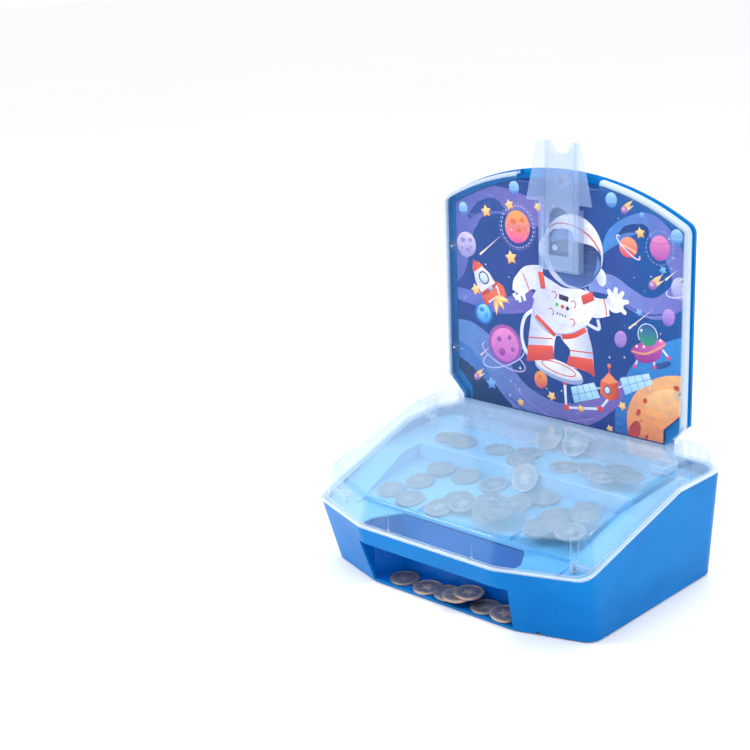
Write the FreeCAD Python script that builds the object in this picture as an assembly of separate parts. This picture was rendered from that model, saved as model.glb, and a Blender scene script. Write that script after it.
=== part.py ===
"""Tabletop coin pusher: blue base, clear cover, upright playfield board and a battery-driven shelf.

Millimetres.  +X is the player's right, -Y is the front, +Z is up.
The origin is on the ground, under the middle of the whole machine.
"""
import FreeCAD
import Part
import os
from math import acos, atan, atan2, cos, degrees, hypot, pi, radians, sin, sqrt, tan

V = FreeCAD.Vector

# ---- base ------------------------------------------------------------------
FRONT_Y = -103.5          # front of the rim
REAR_Y = 103.5            # rear of the rim
FACET_TOP = 65.0          # half width of the flat front at the rim
CORNER_TOP_X = 132.3      # front corner of the side wall at the rim
CORNER_TOP_Y = -79.2
REAR_TOP_X = 140.4        # half width at the back of the rim
FOOT_FRONT_Y = -82.5      # the same outline at the foot of the walls
FACET_FOOT = 69.7
CORNER_FOOT_X = 128.3
CORNER_FOOT_Y = -63.9
REAR_FOOT_X = 135.4
REAR_FOOT_Y = 101.5
RIM_FRONT_Z = 56.2        # height of the rim along the front
RIM_REAR_Z = 88.0         # and from the kink to the back
KINK_Y = 38.5
SHELL_Z = 1.2             # foot of the walls, just off the ground
WALL = 2.4
CORNER_R = 15.0
FACET_R = 22.0
REAR_R = 18.0
# ---- payout ----------------------------------------------------------------
MOUTH_TOP_Z = 40.3
MOUTH_FOOT_Z = 3.2
MOUTH_TOP_X = 73.1
MOUTH_FOOT_X = 69.3
BIN_BACK_Y = -57.0
BIN_BACK_X = 61.5
BIN_TOP_Z = 52.0
BIN_WALL = 1.8
# ---- playfield -------------------------------------------------------------
DECK_REAR_Z = 66.0        # flat floor under and behind the pusher's face
DECK_FRONT_Z = 57.4       # lip where coins drop
DECK_FRONT_Y = -55.0
FACE_Y = 20.0             # front of the pusher when it is drawn back
PLAY_X = 108.5            # half width of the play area
LEDGE_Z = 80.0
LEDGE_KINK_Y = 1.0
SHEET = 2.0               # wall of the tray
# ---- pusher ----------------------------------------------------------------
SHELF_X = 106.0
SHELF_TOP = 80.9
SHELF_FOOT = 66.4
SHELF_BACK_Y = 97.0
STROKE = 12.0
# ---- clear cover -----------------------------------------------------------
COVER_WALL = 2.0
COVER_LEAN_FRONT = 15.0   # how far the front and the front corners lean in, up to COVER_LEAN_Z
COVER_LEAN_CORNER = 9.0
COVER_LEAN_REAR = 4.0
COVER_LEAN_Z = 120.0
FLANGE = 5.2              # width of the edge flange
COVER_TOP_FRONT = 87.0    # height of the sloping top at the front posts
COVER_TOP_REAR = 108.3
POST_X = 112.1
POST_Y = -66.0
POST_R = 3.2
# ---- board -----------------------------------------------------------------
BOARD_X = 117.8
BOARD_FRONT_Y = 71.9
BOARD_BACK_Y = 85.2
PARTING_Y = 78.5          # where shell and window meet
BOARD_FOOT_Z = 95.1
BOARD_SPRING_Z = 281.3
BOARD_APEX_Z = 314.2
TONGUE_X = 103.0
WINDOW_T = 2.0
CARD_FRONT_Y = 81.4
CARD_T = 0.8
CARD_X = 110.6
CARD_FOOT_Z = 104.5
# ---- coin chute ------------------------------------------------------------
PIVOT_Z = 306.0
PIVOT_R = 5.0
PIVOT_SEAT_Y = 83.9
CHUTE_T = 6.9
CHUTE_FRONT_Y = 74.2
CHUTE_TOP_Z = 337.7
CHUTE_WALL = 1.2
CHANNEL_X = 13.2          # half width of the coin channel
HOOD_TOP_X = 20.3
HOOD_FOOT_X = 31.5
NECK_X = 19.4
HOOD_FOOT_Z = 289.0
NECK_FOOT_Z = 233.3
# ---- coins -----------------------------------------------------------------
COIN_R = 12.0
COIN_T = 2.0
GAP = 0.12                # air under and between lying coins
# ---- drive -----------------------------------------------------------------
CRANK_Y = 56.0
CRANK_R = STROKE / 2
MODULE = 0.8
PIN_R = 1.2
RUN = 0.05                # running clearance of a gear on its pin
PLATE_LOW_Z = 28.0
PLATE_HIGH_Z = 47.6
PLATE_T = 2.0
MOTOR_FOOT_Z = 9.0
CASE_X = (-26.0, 62.0)
CASE_Y = (30.0, 82.0)


def save(name, *solids):
    """Write one node from one or more solids."""
    shape = solids[0] if len(solids) == 1 else Part.makeCompound(list(solids))
    shape.exportStep(f"parts/{name}.step")


def box(x0, x1, y0, y1, z0, z1):
    """Box between two corners."""
    return Part.makeBox(x1 - x0, y1 - y0, z1 - z0, V(x0, y0, z0))


def rod(r, x, y, z0, z1):
    """Vertical cylinder."""
    return Part.makeCylinder(r, z1 - z0, V(x, y, z0))


def rod_y(r, x, z, y0, y1):
    """Cylinder along Y."""
    return Part.makeCylinder(r, y1 - y0, V(x, y0, z), V(0, 1, 0))


def mirror_x(shape):
    """Copy on the other side of the machine."""
    return shape.mirror(V(0, 0, 0), V(1, 0, 0))


def both(shape):
    """A shape and its mirror image."""
    return [shape, mirror_x(shape)]


def prism_x(points, x0, x1):
    """Extrude a (y, z) outline along X."""
    wire = Part.makePolygon([V(x0, y, z) for y, z in points + points[:1]])
    return Part.Face(wire).extrude(V(x1 - x0, 0, 0))


def prism_y(points, y0, y1):
    """Extrude an (x, z) outline along Y."""
    wire = Part.makePolygon([V(x, y0, z) for x, z in points + points[:1]])
    return Part.Face(wire).extrude(V(0, y1 - y0, 0))


def prism_z(points, z0, z1):
    """Extrude an (x, y) outline along Z."""
    wire = Part.makePolygon([V(x, y, z0) for x, y in points + points[:1]])
    return Part.Face(wire).extrude(V(0, 0, z1 - z0))


# ---- plan outlines ---------------------------------------------------------
def lerp(a, b, t):
    """Value part of the way from a to b."""
    return a + (b - a) * t


def plan_corners(z, inset):
    """Corners of the base's outline at a height, moved inwards, anticlockwise from the front left."""
    t = z / RIM_FRONT_Z
    u = z / RIM_REAR_Z
    facet = lerp(FACET_FOOT, FACET_TOP, t)
    side = lerp(CORNER_FOOT_X, CORNER_TOP_X, t)
    rear = lerp(REAR_FOOT_X, REAR_TOP_X, u)
    front_y = lerp(FOOT_FRONT_Y, FRONT_Y, t)
    side_y = lerp(CORNER_FOOT_Y, CORNER_TOP_Y, t)
    rear_y = lerp(REAR_FOOT_Y, REAR_Y, u)
    right = [(facet, front_y), (side, side_y), (rear, rear_y)]
    ring = right + [(-x, y) for x, y in reversed(right)]
    return offset_in(ring, inset)


def offset_in(ring, inset):
    """Move every side of a convex anticlockwise ring inwards by the same distance."""
    moved = []
    count = len(ring)
    for i in range(count):
        ax, ay = ring[i - 1]
        bx, by = ring[i]
        cx, cy = ring[(i + 1) % count]
        d1 = hypot(bx - ax, by - ay)
        d2 = hypot(cx - bx, cy - by)
        n1 = ((ay - by) / d1, (bx - ax) / d1)
        n2 = ((by - cy) / d2, (cx - bx) / d2)
        k = inset / (1 + n1[0] * n2[0] + n1[1] * n2[1])
        moved.append((bx + (n1[0] + n2[0]) * k, by + (n1[1] + n2[1]) * k))
    return moved


def round_wire(ring, radii, z):
    """Closed wire round a ring of corners, each with its own radius."""
    count = len(ring)
    arcs = []
    for i in range(count):
        b = V(ring[i][0], ring[i][1], z)
        to_a = (V(ring[i - 1][0], ring[i - 1][1], z) - b).normalize()
        nxt = ring[(i + 1) % count]
        to_c = (V(nxt[0], nxt[1], z) - b).normalize()
        half = to_a.getAngle(to_c) / 2
        reach = radii[i] / tan(half)
        out = (to_a + to_c).normalize()
        middle = b + out * (radii[i] / sin(half) - radii[i])
        arcs.append((b + to_a * reach, middle, b + to_c * reach))
    edges = []
    for i in range(count):
        edges.append(Part.Arc(*arcs[i]).toShape())
        edges.append(Part.LineSegment(arcs[i][2], arcs[(i + 1) % count][0]).toShape())
    return Part.Wire(edges)


def plan_wire(z, inset, at=None):
    """The base's rounded outline for one height, drawn at another if asked."""
    grow = max(inset * 0.8, 0) if inset > 0 else inset
    radii = [r - grow for r in (FACET_R, CORNER_R, REAR_R, REAR_R, CORNER_R, FACET_R)]
    return round_wire(plan_corners(z, inset), radii, z if at is None else at)


def hull(z0, z1, inset):
    """Solid that fills the base's outline between two heights."""
    return Part.makeLoft([plan_wire(z0, inset), plan_wire(z1, inset)], True, True)


def rim_z(y):
    """Height of the rim along the side."""
    if y <= CORNER_TOP_Y:
        return RIM_FRONT_Z
    if y >= KINK_Y:
        return RIM_REAR_Z
    return lerp(RIM_FRONT_Z, RIM_REAR_Z, (y - CORNER_TOP_Y) / (KINK_Y - CORNER_TOP_Y))


def under_rim(drop, far=160.0):
    """Everything below the rim, lowered by a drop."""
    profile = [(-far, -10.0), (far, -10.0), (far, RIM_REAR_Z - drop), (KINK_Y, RIM_REAR_Z - drop),
               (CORNER_TOP_Y, RIM_FRONT_Z - drop), (-far, RIM_FRONT_Z - drop)]
    return prism_x(profile, -far, far)


# ---- base ------------------------------------------------------------------
TRAY_SCREWS = [(-23, 90), (40, 90), (-40, 22), (40, 22)]
BOSSES = [(-112, -40), (112, -40), (-118, 84), (118, 84), ]
DOOR = (-94.0, -30.0, 12.0, 58.0)      # battery door: x0, x1, z0, z1
SWITCH_X = 66.0
SWITCH_Z = 38.0


def housing():
    """Blue shell: leaning walls, payout mouth, door and switch openings, screw bosses."""
    shell = hull(SHELL_Z, 96, 0).cut(hull(SHELL_Z - 1, 97, WALL)).common(under_rim(0))
    mouth = [(-MOUTH_FOOT_X, MOUTH_FOOT_Z), (MOUTH_FOOT_X, MOUTH_FOOT_Z),
             (MOUTH_TOP_X, MOUTH_TOP_Z), (-MOUTH_TOP_X, MOUTH_TOP_Z)]
    shell = shell.cut(prism_y(mouth, FRONT_Y - 5, -60))
    x0, x1, z0, z1 = DOOR
    shell = shell.cut(box(x0, x1, 90, 110, z0, z1))
    shell = shell.cut(box(SWITCH_X - 8, SWITCH_X + 8, 90, 110, SWITCH_Z - 4, SWITCH_Z + 4))
    notch = prism_y([(84, 0), (92, 0), (88, 4.5)], -100, -60)
    shell = shell.cut(notch)
    for x, y in BOSSES:
        arm = box(abs(x), 150, y - 1, y + 1, 5.4, 44)
        arm = arm if x > 0 else mirror_x(arm)
        boss = rod(4.0, x, y, 5.4, 44).fuse(arm.common(hull(SHELL_Z, 90, WALL / 2)))
        shell = shell.fuse(boss)
        shell = shell.cut(rod(1.25, x, y, 0, 24))
    return shell.removeSplitter()


def base_plate():
    """Flat bottom with screw holes, and ribs that locate the gearbox."""
    z0 = 3.0
    plate = hull(z0, z0 + 2.2, WALL + 0.4)
    plate = plate.cut(bin_outline(BIN_WALL + 0.4, -160, 0, 10))
    for x, y in BOSSES:
        plate = plate.cut(rod(1.7, x, y, 0, 10))
        plate = plate.cut(rod(3.2, x, y, 0, 3.9))
    for x in (CASE_X[0] - 2, CASE_X[1]):
        plate = plate.fuse(box(x, x + 2, 36, 76, z0 + 2.2, 9))
    for k in range(6):
        plate = plate.cut(box(-20 + k * 8, -17 + k * 8, -20, 5, 0, 10))
    for x, y in TRAY_SCREWS:
        plate = plate.fuse(rod(3.6, x, y, z0 + 1, DECK_REAR_Z - SHEET - 0.05)).cut(rod(1.3, x, y, 50, 80))
    return plate.removeSplitter()


def base_screws():
    """Four self-tapping screws up into the shell's bosses."""
    screws = []
    for x, y in BOSSES:
        head = rod(2.9, x, y, 2.2, 3.85)
        cross = box(x - 2, x + 2, y - 0.4, y + 0.4, 2, 2.9).fuse(box(x - 0.4, x + 0.4, y - 2, y + 2, 2, 2.9))
        screws.append(head.fuse(rod(1.2, x, y, 3.85, 16)).cut(cross))
    return screws


def rubber_feet():
    """Four round pads, one at each corner."""
    pads = []
    for x, y in ((-98, -44), (98, -44), (-104, 78), (104, 78)):
        pad = rod(6.5, x, y, 0, 3.0)
        pads.append(pad.makeFillet(0.6, [e for e in pad.Edges if e.BoundBox.ZMax < 0.01]))
    return pads


def bin_outline(grow, front, z0, z1):
    """Plan of the payout bin between two heights: straight by the mouth, drawn in towards the back."""
    x, back_x = MOUTH_TOP_X + grow, BIN_BACK_X + grow
    knee = -78.0 - grow * 0.2
    back = BIN_BACK_Y + grow
    return prism_z([(-x, front), (x, front), (x, knee), (back_x, back), (-back_x, back), (-x, knee)], z0, z1)


def payout_bin():
    """Tray behind the mouth: floor, flared side walls and a back wall up to the playfield."""
    outer = bin_outline(BIN_WALL, -92, MOUTH_FOOT_Z + 0.2 - BIN_WALL, BIN_TOP_Z)
    shell = outer.cut(bin_outline(0, -120, MOUTH_FOOT_Z + 0.2, BIN_TOP_Z + 1))
    shell = shell.common(hull(0.5, 60, WALL + 0.3))
    return shell.removeSplitter()


# ---- playfield tray --------------------------------------------------------
def deck_slope():
    """Rise of the deck per millimetre towards the back."""
    return (DECK_REAR_Z - DECK_FRONT_Z) / (FACE_Y - STROKE - 6 - DECK_FRONT_Y)


def deck_z(y):
    """Height of the deck's surface."""
    return min(DECK_REAR_Z, DECK_FRONT_Z + (y - DECK_FRONT_Y) * deck_slope())


def ledge_profile(drop):
    """(y, z) line of the side ledge from front to back, lowered by a drop."""
    return [(-150.0, 51.0 - drop), (-78.0, 51.0 - drop), (DECK_FRONT_Y, DECK_FRONT_Z - drop),
            (LEDGE_KINK_Y, LEDGE_Z - 3 - drop), (150.0, LEDGE_Z - drop)]


def ledge_z(y):
    """Height of the side ledge."""
    line = ledge_profile(0)
    for (y0, z0), (y1, z1) in zip(line, line[1:]):
        if y <= y1:
            return lerp(z0, z1, (y - y0) / (y1 - y0))
    return line[-1][1]


def posts():
    """Places of the cover's screw posts and the height of each one's foot."""
    spots = [(-POST_X, POST_Y), (POST_X, POST_Y), (-123, 60), (123, 60)]
    return [(x, y, ledge_z(y + POST_R) + 0.1) for x, y in spots]


def play_outline(grow):
    """Plan of the sunken play area, flared towards the front, grown by a margin."""
    x = PLAY_X + grow
    return [(-x + 6, -200.0), (x - 6, -200.0), (x - 6, DECK_FRONT_Y), (x, LEDGE_KINK_Y), (x, 100.0 + grow),
            (-x, 100.0 + grow), (-x, LEDGE_KINK_Y), (-x + 6, DECK_FRONT_Y)]


def deck_block(drop, y0):
    """Everything above the deck's surface, lowered by a drop, behind y0."""
    rear = deck_knee()
    return prism_x([(y0, deck_z(y0) - drop), (rear, DECK_REAR_Z - drop), (120, DECK_REAR_Z - drop),
                    (120, 150), (y0, 150)], -160, 160)


def deck_knee():
    """Where the sloping deck meets the flat rear floor."""
    return FACE_Y - STROKE - 6


def side_apron():
    """Plate beside the bin that leads coins from the deck's corner into the bin."""
    inner_x, outer_x = BIN_BACK_X - 1.5, PLAY_X - 4
    foot = BIN_TOP_Z + 0.12
    plate = prism_y([(inner_x, foot), (outer_x, foot + 1.3), (outer_x, foot + 2.6), (inner_x, foot + 1.3)],
                    FRONT_Y, DECK_FRONT_Y + 0.5)
    return plate.cut(bin_outline(0, FRONT_Y - 10, foot - 5, foot + 5))


def playfield_tray():
    """Light blue tray: ledges, sunken deck with guide fins, drop wall, and floor under the pusher."""
    body = hull(40, 96, WALL + 0.35)
    top = prism_x(ledge_profile(0) + [(150, 0), (-150, 0)], -160, 160)
    low = prism_x(ledge_profile(SHEET) + [(150, 0), (-150, 0)], -160, 160)
    skin = body.common(top).cut(low)
    pit = prism_z(play_outline(0), -10, 200)
    skin = skin.cut(pit)
    band = prism_z(play_outline(SHEET), -10, 200).cut(pit).common(body).common(top)
    walls = band.common(deck_block(SHEET, DECK_FRONT_Y))
    deck = prism_z(play_outline(0.2), -10, 200).common(deck_block(SHEET, DECK_FRONT_Y))
    deck = deck.cut(deck_block(0, DECK_FRONT_Y - 1)).common(body)
    drop = box(-PLAY_X + 4, PLAY_X - 4, DECK_FRONT_Y, DECK_FRONT_Y + SHEET, 52.4, DECK_FRONT_Z)
    tray = skin.fuse([walls, deck, drop])
    side = prism_x([(DECK_FRONT_Y + 1, DECK_FRONT_Z - 0.5), (-97, 51.0), (-97, 49.0), (DECK_FRONT_Y + 1, 52.4)],
                   PLAY_X - 6, PLAY_X - 4)
    tray = tray.fuse([s.common(body) for s in both(side)])
    tray = tray.fuse([s.common(body) for s in both(side_apron())])
    fin = prism_x([(DECK_FRONT_Y, DECK_FRONT_Z - 1), (DECK_FRONT_Y + 26, deck_z(DECK_FRONT_Y + 26) - 1),
                   (DECK_FRONT_Y + 26, deck_z(DECK_FRONT_Y + 26) + 0.4), (DECK_FRONT_Y + 3, DECK_FRONT_Z + 4),
                   (DECK_FRONT_Y, DECK_FRONT_Z + 3.4)], 44.6, 46.2)
    tray = tray.fuse(both(fin))
    window = box(-20, 20, CRANK_Y - 20, CRANK_Y + 20, 50, 70)
    tray = tray.cut(window)
    for x, y in TRAY_SCREWS:
        tray = tray.cut(rod(1.6, x, y, 40, 90)).cut(rod(3.0, x, y, DECK_REAR_Z - 1.2, 90))
    for x, y, z in posts():
        tray = tray.cut(rod(1.7, x, y, 30, 100))
    return tray.removeSplitter()


def tray_screws():
    """Flush screws that hold the rear floor to the base plate's pillars."""
    screws = []
    for x, y in TRAY_SCREWS:
        seat = DECK_REAR_Z - 1.15
        screws.append(rod(2.8, x, y, seat, DECK_REAR_Z - 0.05).fuse(rod(1.25, x, y, 54, seat)))
    return screws


def guide_rails():
    """Two low runners on the rear floor that the shelf slides on."""
    rails = []
    for x in (-86.0, 86.0):
        rails.append(box(x - 3, x + 3, 26, 98, DECK_REAR_Z + 0.02, 74.0))
    return rails


# ---- pusher ----------------------------------------------------------------
def pusher_shelf():
    """Hollow sliding shelf, open below, with grooved blocks that ride the runners."""
    t = 2.0
    shelf = box(-SHELF_X, SHELF_X, FACE_Y, SHELF_BACK_Y, SHELF_FOOT, SHELF_TOP)
    front = [e for e in shelf.Edges if abs(e.BoundBox.YMax - FACE_Y) < 0.01 and e.BoundBox.ZMin > SHELF_TOP - 0.01]
    shelf = shelf.makeFillet(1.2, front)
    shelf = shelf.cut(box(-SHELF_X + t, SHELF_X - t, FACE_Y + t, SHELF_BACK_Y - t, 0, SHELF_TOP - t))
    shelf = shelf.cut(box(-SHELF_X + t, SHELF_X - t, SHELF_BACK_Y - t - 1, SHELF_BACK_Y + 1, 0, SHELF_TOP - t))
    for x in (-86.0, 86.0):
        for y in (32.0, 84.0):
            shoe = box(x - 5.5, x + 5.5, y - 4, y + 4, 68.5, SHELF_TOP - t)
            shelf = shelf.fuse(shoe.cut(box(x - 3.3, x + 3.3, y - 5, y + 5, 60, 74.3)))
    return shelf.removeSplitter()


def pusher_yoke():
    """Slotted follower under the shelf, above the crank pin."""
    y = CRANK_Y + CRANK_R
    z0 = 58.4
    plate = box(-16, 16, y - 7, y + 7, z0, z0 + 3)
    plate = plate.cut(box(-10, 10, y - 2.3, y + 2.3, z0 - 1, z0 + 9))
    plate = plate.cut(rod(2.3, -10, y, z0 - 1, z0 + 9)).cut(rod(2.3, 10, y, z0 - 1, z0 + 9))
    posts = [box(x - 1.5, x + 1.5, y - 7, y + 7, z0 + 3, SHELF_TOP - 2) for x in (-14.5, 14.5)]
    return plate.fuse(posts).removeSplitter()


# ---- gears -----------------------------------------------------------------
PRESSURE = radians(25)
ADDENDUM = 0.8 * MODULE
DEDENDUM = 1.05 * MODULE
BACKLASH = 0.10


def involute(base_r, r):
    """Angle that an involute has turned by at a radius."""
    a = acos(min(1.0, base_r / r))
    return tan(a) - a


def gear(teeth, x, y, z0, z1, turn=0.0):
    """Spur gear with stub involute teeth; turn is the angle of a tooth's middle, in degrees."""
    pitch_r = teeth * MODULE / 2
    base_r = pitch_r * cos(PRESSURE)
    tip_r = pitch_r + ADDENDUM
    root_r = pitch_r - DEDENDUM
    half = pi / (2 * teeth) - BACKLASH / pitch_r + involute(base_r, pitch_r)
    start_r = max(base_r, root_r)
    steps = 4
    radii = [lerp(start_r, tip_r, k / (steps - 1)) for k in range(steps)]
    flank = [(r, half - involute(base_r, r)) for r in radii]
    flank = [(root_r, flank[0][1])] + flank if root_r < start_r - 0.01 else flank
    points = []
    for tooth in range(teeth):
        middle = radians(turn) + 2 * pi * tooth / teeth
        around = [(r, middle - a) for r, a in flank] + [(r, middle + a) for r, a in reversed(flank)]
        points += [V(x + r * cos(a), y + r * sin(a), z0) for r, a in around]
    face = Part.Face(Part.makePolygon(points + points[:1]))
    return face.extrude(V(0, 0, z1 - z0))


CRANK_TEETH = 50
WHEEL_TEETH = 40
PINION_TEETH = 10
CRANK_XY = (0.0, CRANK_Y)
SECOND_GAP = MODULE * (CRANK_TEETH + PINION_TEETH) / 2
FIRST_GAP = MODULE * (WHEEL_TEETH + PINION_TEETH) / 2
SECOND_XY = (SECOND_GAP, CRANK_Y)
FIRST_XY = (SECOND_XY[0] + FIRST_GAP * cos(radians(-40)), SECOND_XY[1] + FIRST_GAP * sin(radians(-40)))
MOTOR_ANGLE = 70.0
MOTOR_XY = (FIRST_XY[0] + FIRST_GAP * cos(radians(MOTOR_ANGLE)), FIRST_XY[1] + FIRST_GAP * sin(radians(MOTOR_ANGLE)))


def mesh_turn(from_xy, from_teeth, from_turn, to_xy, to_teeth):
    """Angle that puts a gear's tooth gap where its neighbour has a tooth."""
    line = degrees(atan2(to_xy[1] - from_xy[1], to_xy[0] - from_xy[0]))
    phase = (line - from_turn) * from_teeth / 360.0
    return line + 180.0 + (phase + 0.5) * 360.0 / to_teeth


def crank_gear():
    """Last gear with its hub, crank disc and eccentric pin, pin at the back."""
    x, y = CRANK_XY
    body = gear(CRANK_TEETH, x, y, 40.4, 44.4).fuse([rod(5, x, y, 44.4, 52.0), rod(10, x, y, 50.2, 52.6),
                                                    rod(2.0, x, y + CRANK_R, 52.6, 58.0)])
    return body.cut(rod(PIN_R + RUN, x, y, 30, 51.0)).removeSplitter()


def compound(xy, wheel_turn, pinion_turn, wheel_z, pinion_z):
    """Wheel and pinion moulded as one, bored for its pin."""
    x, y = xy
    body = gear(WHEEL_TEETH, x, y, *wheel_z, wheel_turn).fuse(gear(PINION_TEETH, x, y, *pinion_z, pinion_turn))
    return body.cut(rod(PIN_R + RUN, x, y, 0, 90)).removeSplitter()


def gear_train():
    """The crank gear, two compound gears and the motor pinion, all in mesh."""
    second_pinion = mesh_turn(CRANK_XY, CRANK_TEETH, 0, SECOND_XY, PINION_TEETH)
    first_pinion = mesh_turn(SECOND_XY, WHEEL_TEETH, 0, FIRST_XY, PINION_TEETH)
    motor_turn = mesh_turn(FIRST_XY, WHEEL_TEETH, 0, MOTOR_XY, PINION_TEETH)
    save("crank_gear", crank_gear())
    save("second_gear", compound(SECOND_XY, 0, second_pinion, (35.4, 39.4), (39.4, 45.4)))
    save("first_gear", compound(FIRST_XY, 0, first_pinion, (30.6, 34.6), (34.6, 40.2)))
    pinion = gear(PINION_TEETH, *MOTOR_XY, 30.6, 36.4, motor_turn)
    save("motor_pinion", pinion.cut(rod(1.0, *MOTOR_XY, 0, 90)))


def gear_pins():
    """Three fixed steel pins, pressed into the gearbox plates."""
    pins = []
    for xy, z1 in ((CRANK_XY, 50.6), (SECOND_XY, PLATE_HIGH_Z + PLATE_T), (FIRST_XY, PLATE_HIGH_Z + PLATE_T)):
        pins.append(rod(PIN_R, *xy, PLATE_LOW_Z, z1))
    return pins


PILLARS = [(CASE_X[0] + 4, CASE_Y[0] + 4), (CASE_X[0] + 4, CASE_Y[1] - 4),
           (CASE_X[1] - 4, CASE_Y[0] + 4), (CASE_X[1] - 4, CASE_Y[1] - 4)]


def gearbox_plate(z0):
    """Flat plate with corner holes and a bore for each pin."""
    plate = box(*CASE_X, *CASE_Y, z0, z0 + PLATE_T)
    vertical = [e for e in plate.Edges if abs(e.BoundBox.ZLength - PLATE_T) < 0.01]
    plate = plate.makeFillet(4.0, vertical)
    for xy in (CRANK_XY, SECOND_XY, FIRST_XY):
        plate = plate.cut(rod(PIN_R, *xy, 0, 90))
    for xy in PILLARS:
        plate = plate.cut(rod(1.3, *xy, 0, 90))
    return plate


def gearbox_low():
    """Lower plate with legs to the base, pillars to the upper plate and a hole for the motor's nose."""
    plate = gearbox_plate(PLATE_LOW_Z).cut(rod(3.2, *MOTOR_XY, 0, 60))
    legs = []
    for x, y in PILLARS:
        legs.append(rod(3.6, x, y, 5.3, PLATE_LOW_Z))
        legs.append(rod(3.0, x, y, PLATE_LOW_Z, PLATE_HIGH_Z - 0.02))
    low = plate.fuse(legs)
    for x, y in PILLARS:
        low = low.cut(rod(1.0, x, y, 36, 60))
    return low.removeSplitter()


def gearbox_high():
    """Upper plate, open round the crank's hub."""
    return gearbox_plate(PLATE_HIGH_Z).cut(rod(5.4, *CRANK_XY, 0, 90))


def gearbox_screws():
    """Four screws down through the upper plate into the pillars."""
    top = PLATE_HIGH_Z + PLATE_T
    return [rod(2.4, x, y, top + 0.02, top + 1.5).fuse(rod(0.98, x, y, 38, top + 0.02)) for x, y in PILLARS]


def motor_can():
    """Flat-sided steel can, hollow, with a bearing nose that centres it in the plate."""
    x, y = MOTOR_XY
    top = PLATE_LOW_Z - 0.05
    foot = MOTOR_FOOT_Z
    flats = box(x - 7.6, x + 7.6, y - 20, y + 20, 0, 60)
    can = rod(10, x, y, foot, top).common(flats)
    can = can.cut(rod(9.2, x, y, foot - 1, top - 0.8).common(box(x - 6.8, x + 6.8, y - 20, y + 20, 0, 60)))
    nose = rod(3.0, x, y, top - 0.8, top + 1.6)
    return can.fuse(nose).cut(rod(1.05, x, y, 0, 60)).removeSplitter()


def motor_cap():
    """Plastic end cap with two terminals' slots."""
    x, y = MOTOR_XY
    cap = rod(9.0, x, y, MOTOR_FOOT_Z + 0.02, MOTOR_FOOT_Z + 2.4).common(box(x - 6.7, x + 6.7, y - 20, y + 20, 0, 60))
    return cap.cut(rod(1.05, x, y, 0, 60))


def motor_rotor():
    """Shaft with its wound armature."""
    x, y = MOTOR_XY
    poles = [box(x - 1.6, x + 1.6, y - 6, y + 6, 12, 24).rotated(V(x, y, 0), V(0, 0, 1), 60 * k) for k in range(3)]
    return rod(1.0, x, y, MOTOR_FOOT_Z + 0.1, 37.0).fuse([rod(4.2, x, y, 12, 24)] + poles).removeSplitter()


# ---- power -----------------------------------------------------------------
CELL_R = 7.1
CELL_L = 49.2
CELL_Y = 90.6


def cell_z(k):
    """Height of a cell's axis."""
    return 20.2 + k * 14.9


def battery_box():
    """Open-backed holder for three cells, one above another."""
    x0, x1, z0, z1 = DOOR
    outer = box(x0 + 1.0, x1 - 1.0, 81.5, 98.6, z0 - 1.6, z1 + 1.6)
    inner = box(x0 + 2.6, x1 - 2.6, 83.0, 110.0, z0 + 0.2, z1 - 0.2)
    return outer.cut(inner)


def batteries():
    """Three AA cells with their button ends."""
    x0, x1 = DOOR[0], DOOR[1]
    middle = (x0 + x1) / 2
    cells = []
    for k in range(3):
        way = 1 if k % 2 == 0 else -1
        start = V(middle - way * CELL_L / 2, CELL_Y, cell_z(k))
        can = Part.makeCylinder(CELL_R, CELL_L, start, V(way, 0, 0))
        button = Part.makeCylinder(2.7, 1.2, start + V(way * CELL_L, 0, 0), V(way, 0, 0))
        cells.append(can.fuse(button))
    return cells


def battery_contacts():
    """Sprung steel plates at both ends of each cell."""
    x0, x1 = DOOR[0] + 2.6, DOOR[1] - 2.6
    plates = []
    for k in range(3):
        z = cell_z(k)
        for x, way in ((x0, 1), (x1, -1)):
            a, b = sorted((x + way * 0.05, x + way * 0.45))
            c, d = sorted((x + way * 0.45, x + way * 1.6))
            plates.append(box(a, b, 85.0, 96.0, z - 5, z + 5).fuse(box(c, d, 89.6, 91.6, z - 1, z + 1)))
    return plates


def battery_door():
    """Ribbed door set into the back wall, with a tongue below and a screw ear above."""
    x0, x1, z0, z1 = DOOR
    door = box(x0 + 0.4, x1 - 0.4, 99.4, 101.6, z0 + 0.4, z1 - 0.4)
    for k in range(5):
        z = z0 + 8 + k * 3.4
        door = door.fuse(box(x0 + 22, x1 - 22, 101.6, 102.3, z, z + 1.4))
    x = (x0 + x1) / 2
    door = door.cut(rod_y(1.6, x, z1 - 5, 90, 110)).cut(rod_y(3.1, x, z1 - 5, 100.8, 110))
    return door.removeSplitter()


def door_screw():
    """Captive screw of the battery door."""
    x0, x1, z0, z1 = DOOR
    x = (x0 + x1) / 2
    z = z1 - 5
    head = rod_y(2.8, x, z, 100.85, 102.2)
    slot = box(x - 2.2, x + 2.2, 101.5, 103, z - 0.35, z + 0.35).fuse(box(x - 0.35, x + 0.35, 101.5, 103, z - 2.2, z + 2.2))
    return head.fuse(rod_y(1.4, x, z, 98.9, 100.85)).cut(slot)


def switch_body():
    """Slide switch behind the back wall."""
    body = box(SWITCH_X - 12, SWITCH_X + 12, 91.5, 98.2, SWITCH_Z - 5, SWITCH_Z + 5)
    return body.cut(box(SWITCH_X - 7, SWITCH_X + 7, 93.0, 100, SWITCH_Z - 3.2, SWITCH_Z + 3.2))


def switch_knob():
    """Knob of the power switch, ribbed, in its off position."""
    x = SWITCH_X - 2.0
    knob = box(x - 3.4, x + 3.4, 94.0, 103.0, SWITCH_Z - 2.6, SWITCH_Z + 2.6)
    for k in range(3):
        knob = knob.cut(box(x - 2.1 + k * 1.7, x - 1.3 + k * 1.7, 102.4, 104, SWITCH_Z - 4, SWITCH_Z + 4))
    return knob


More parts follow.
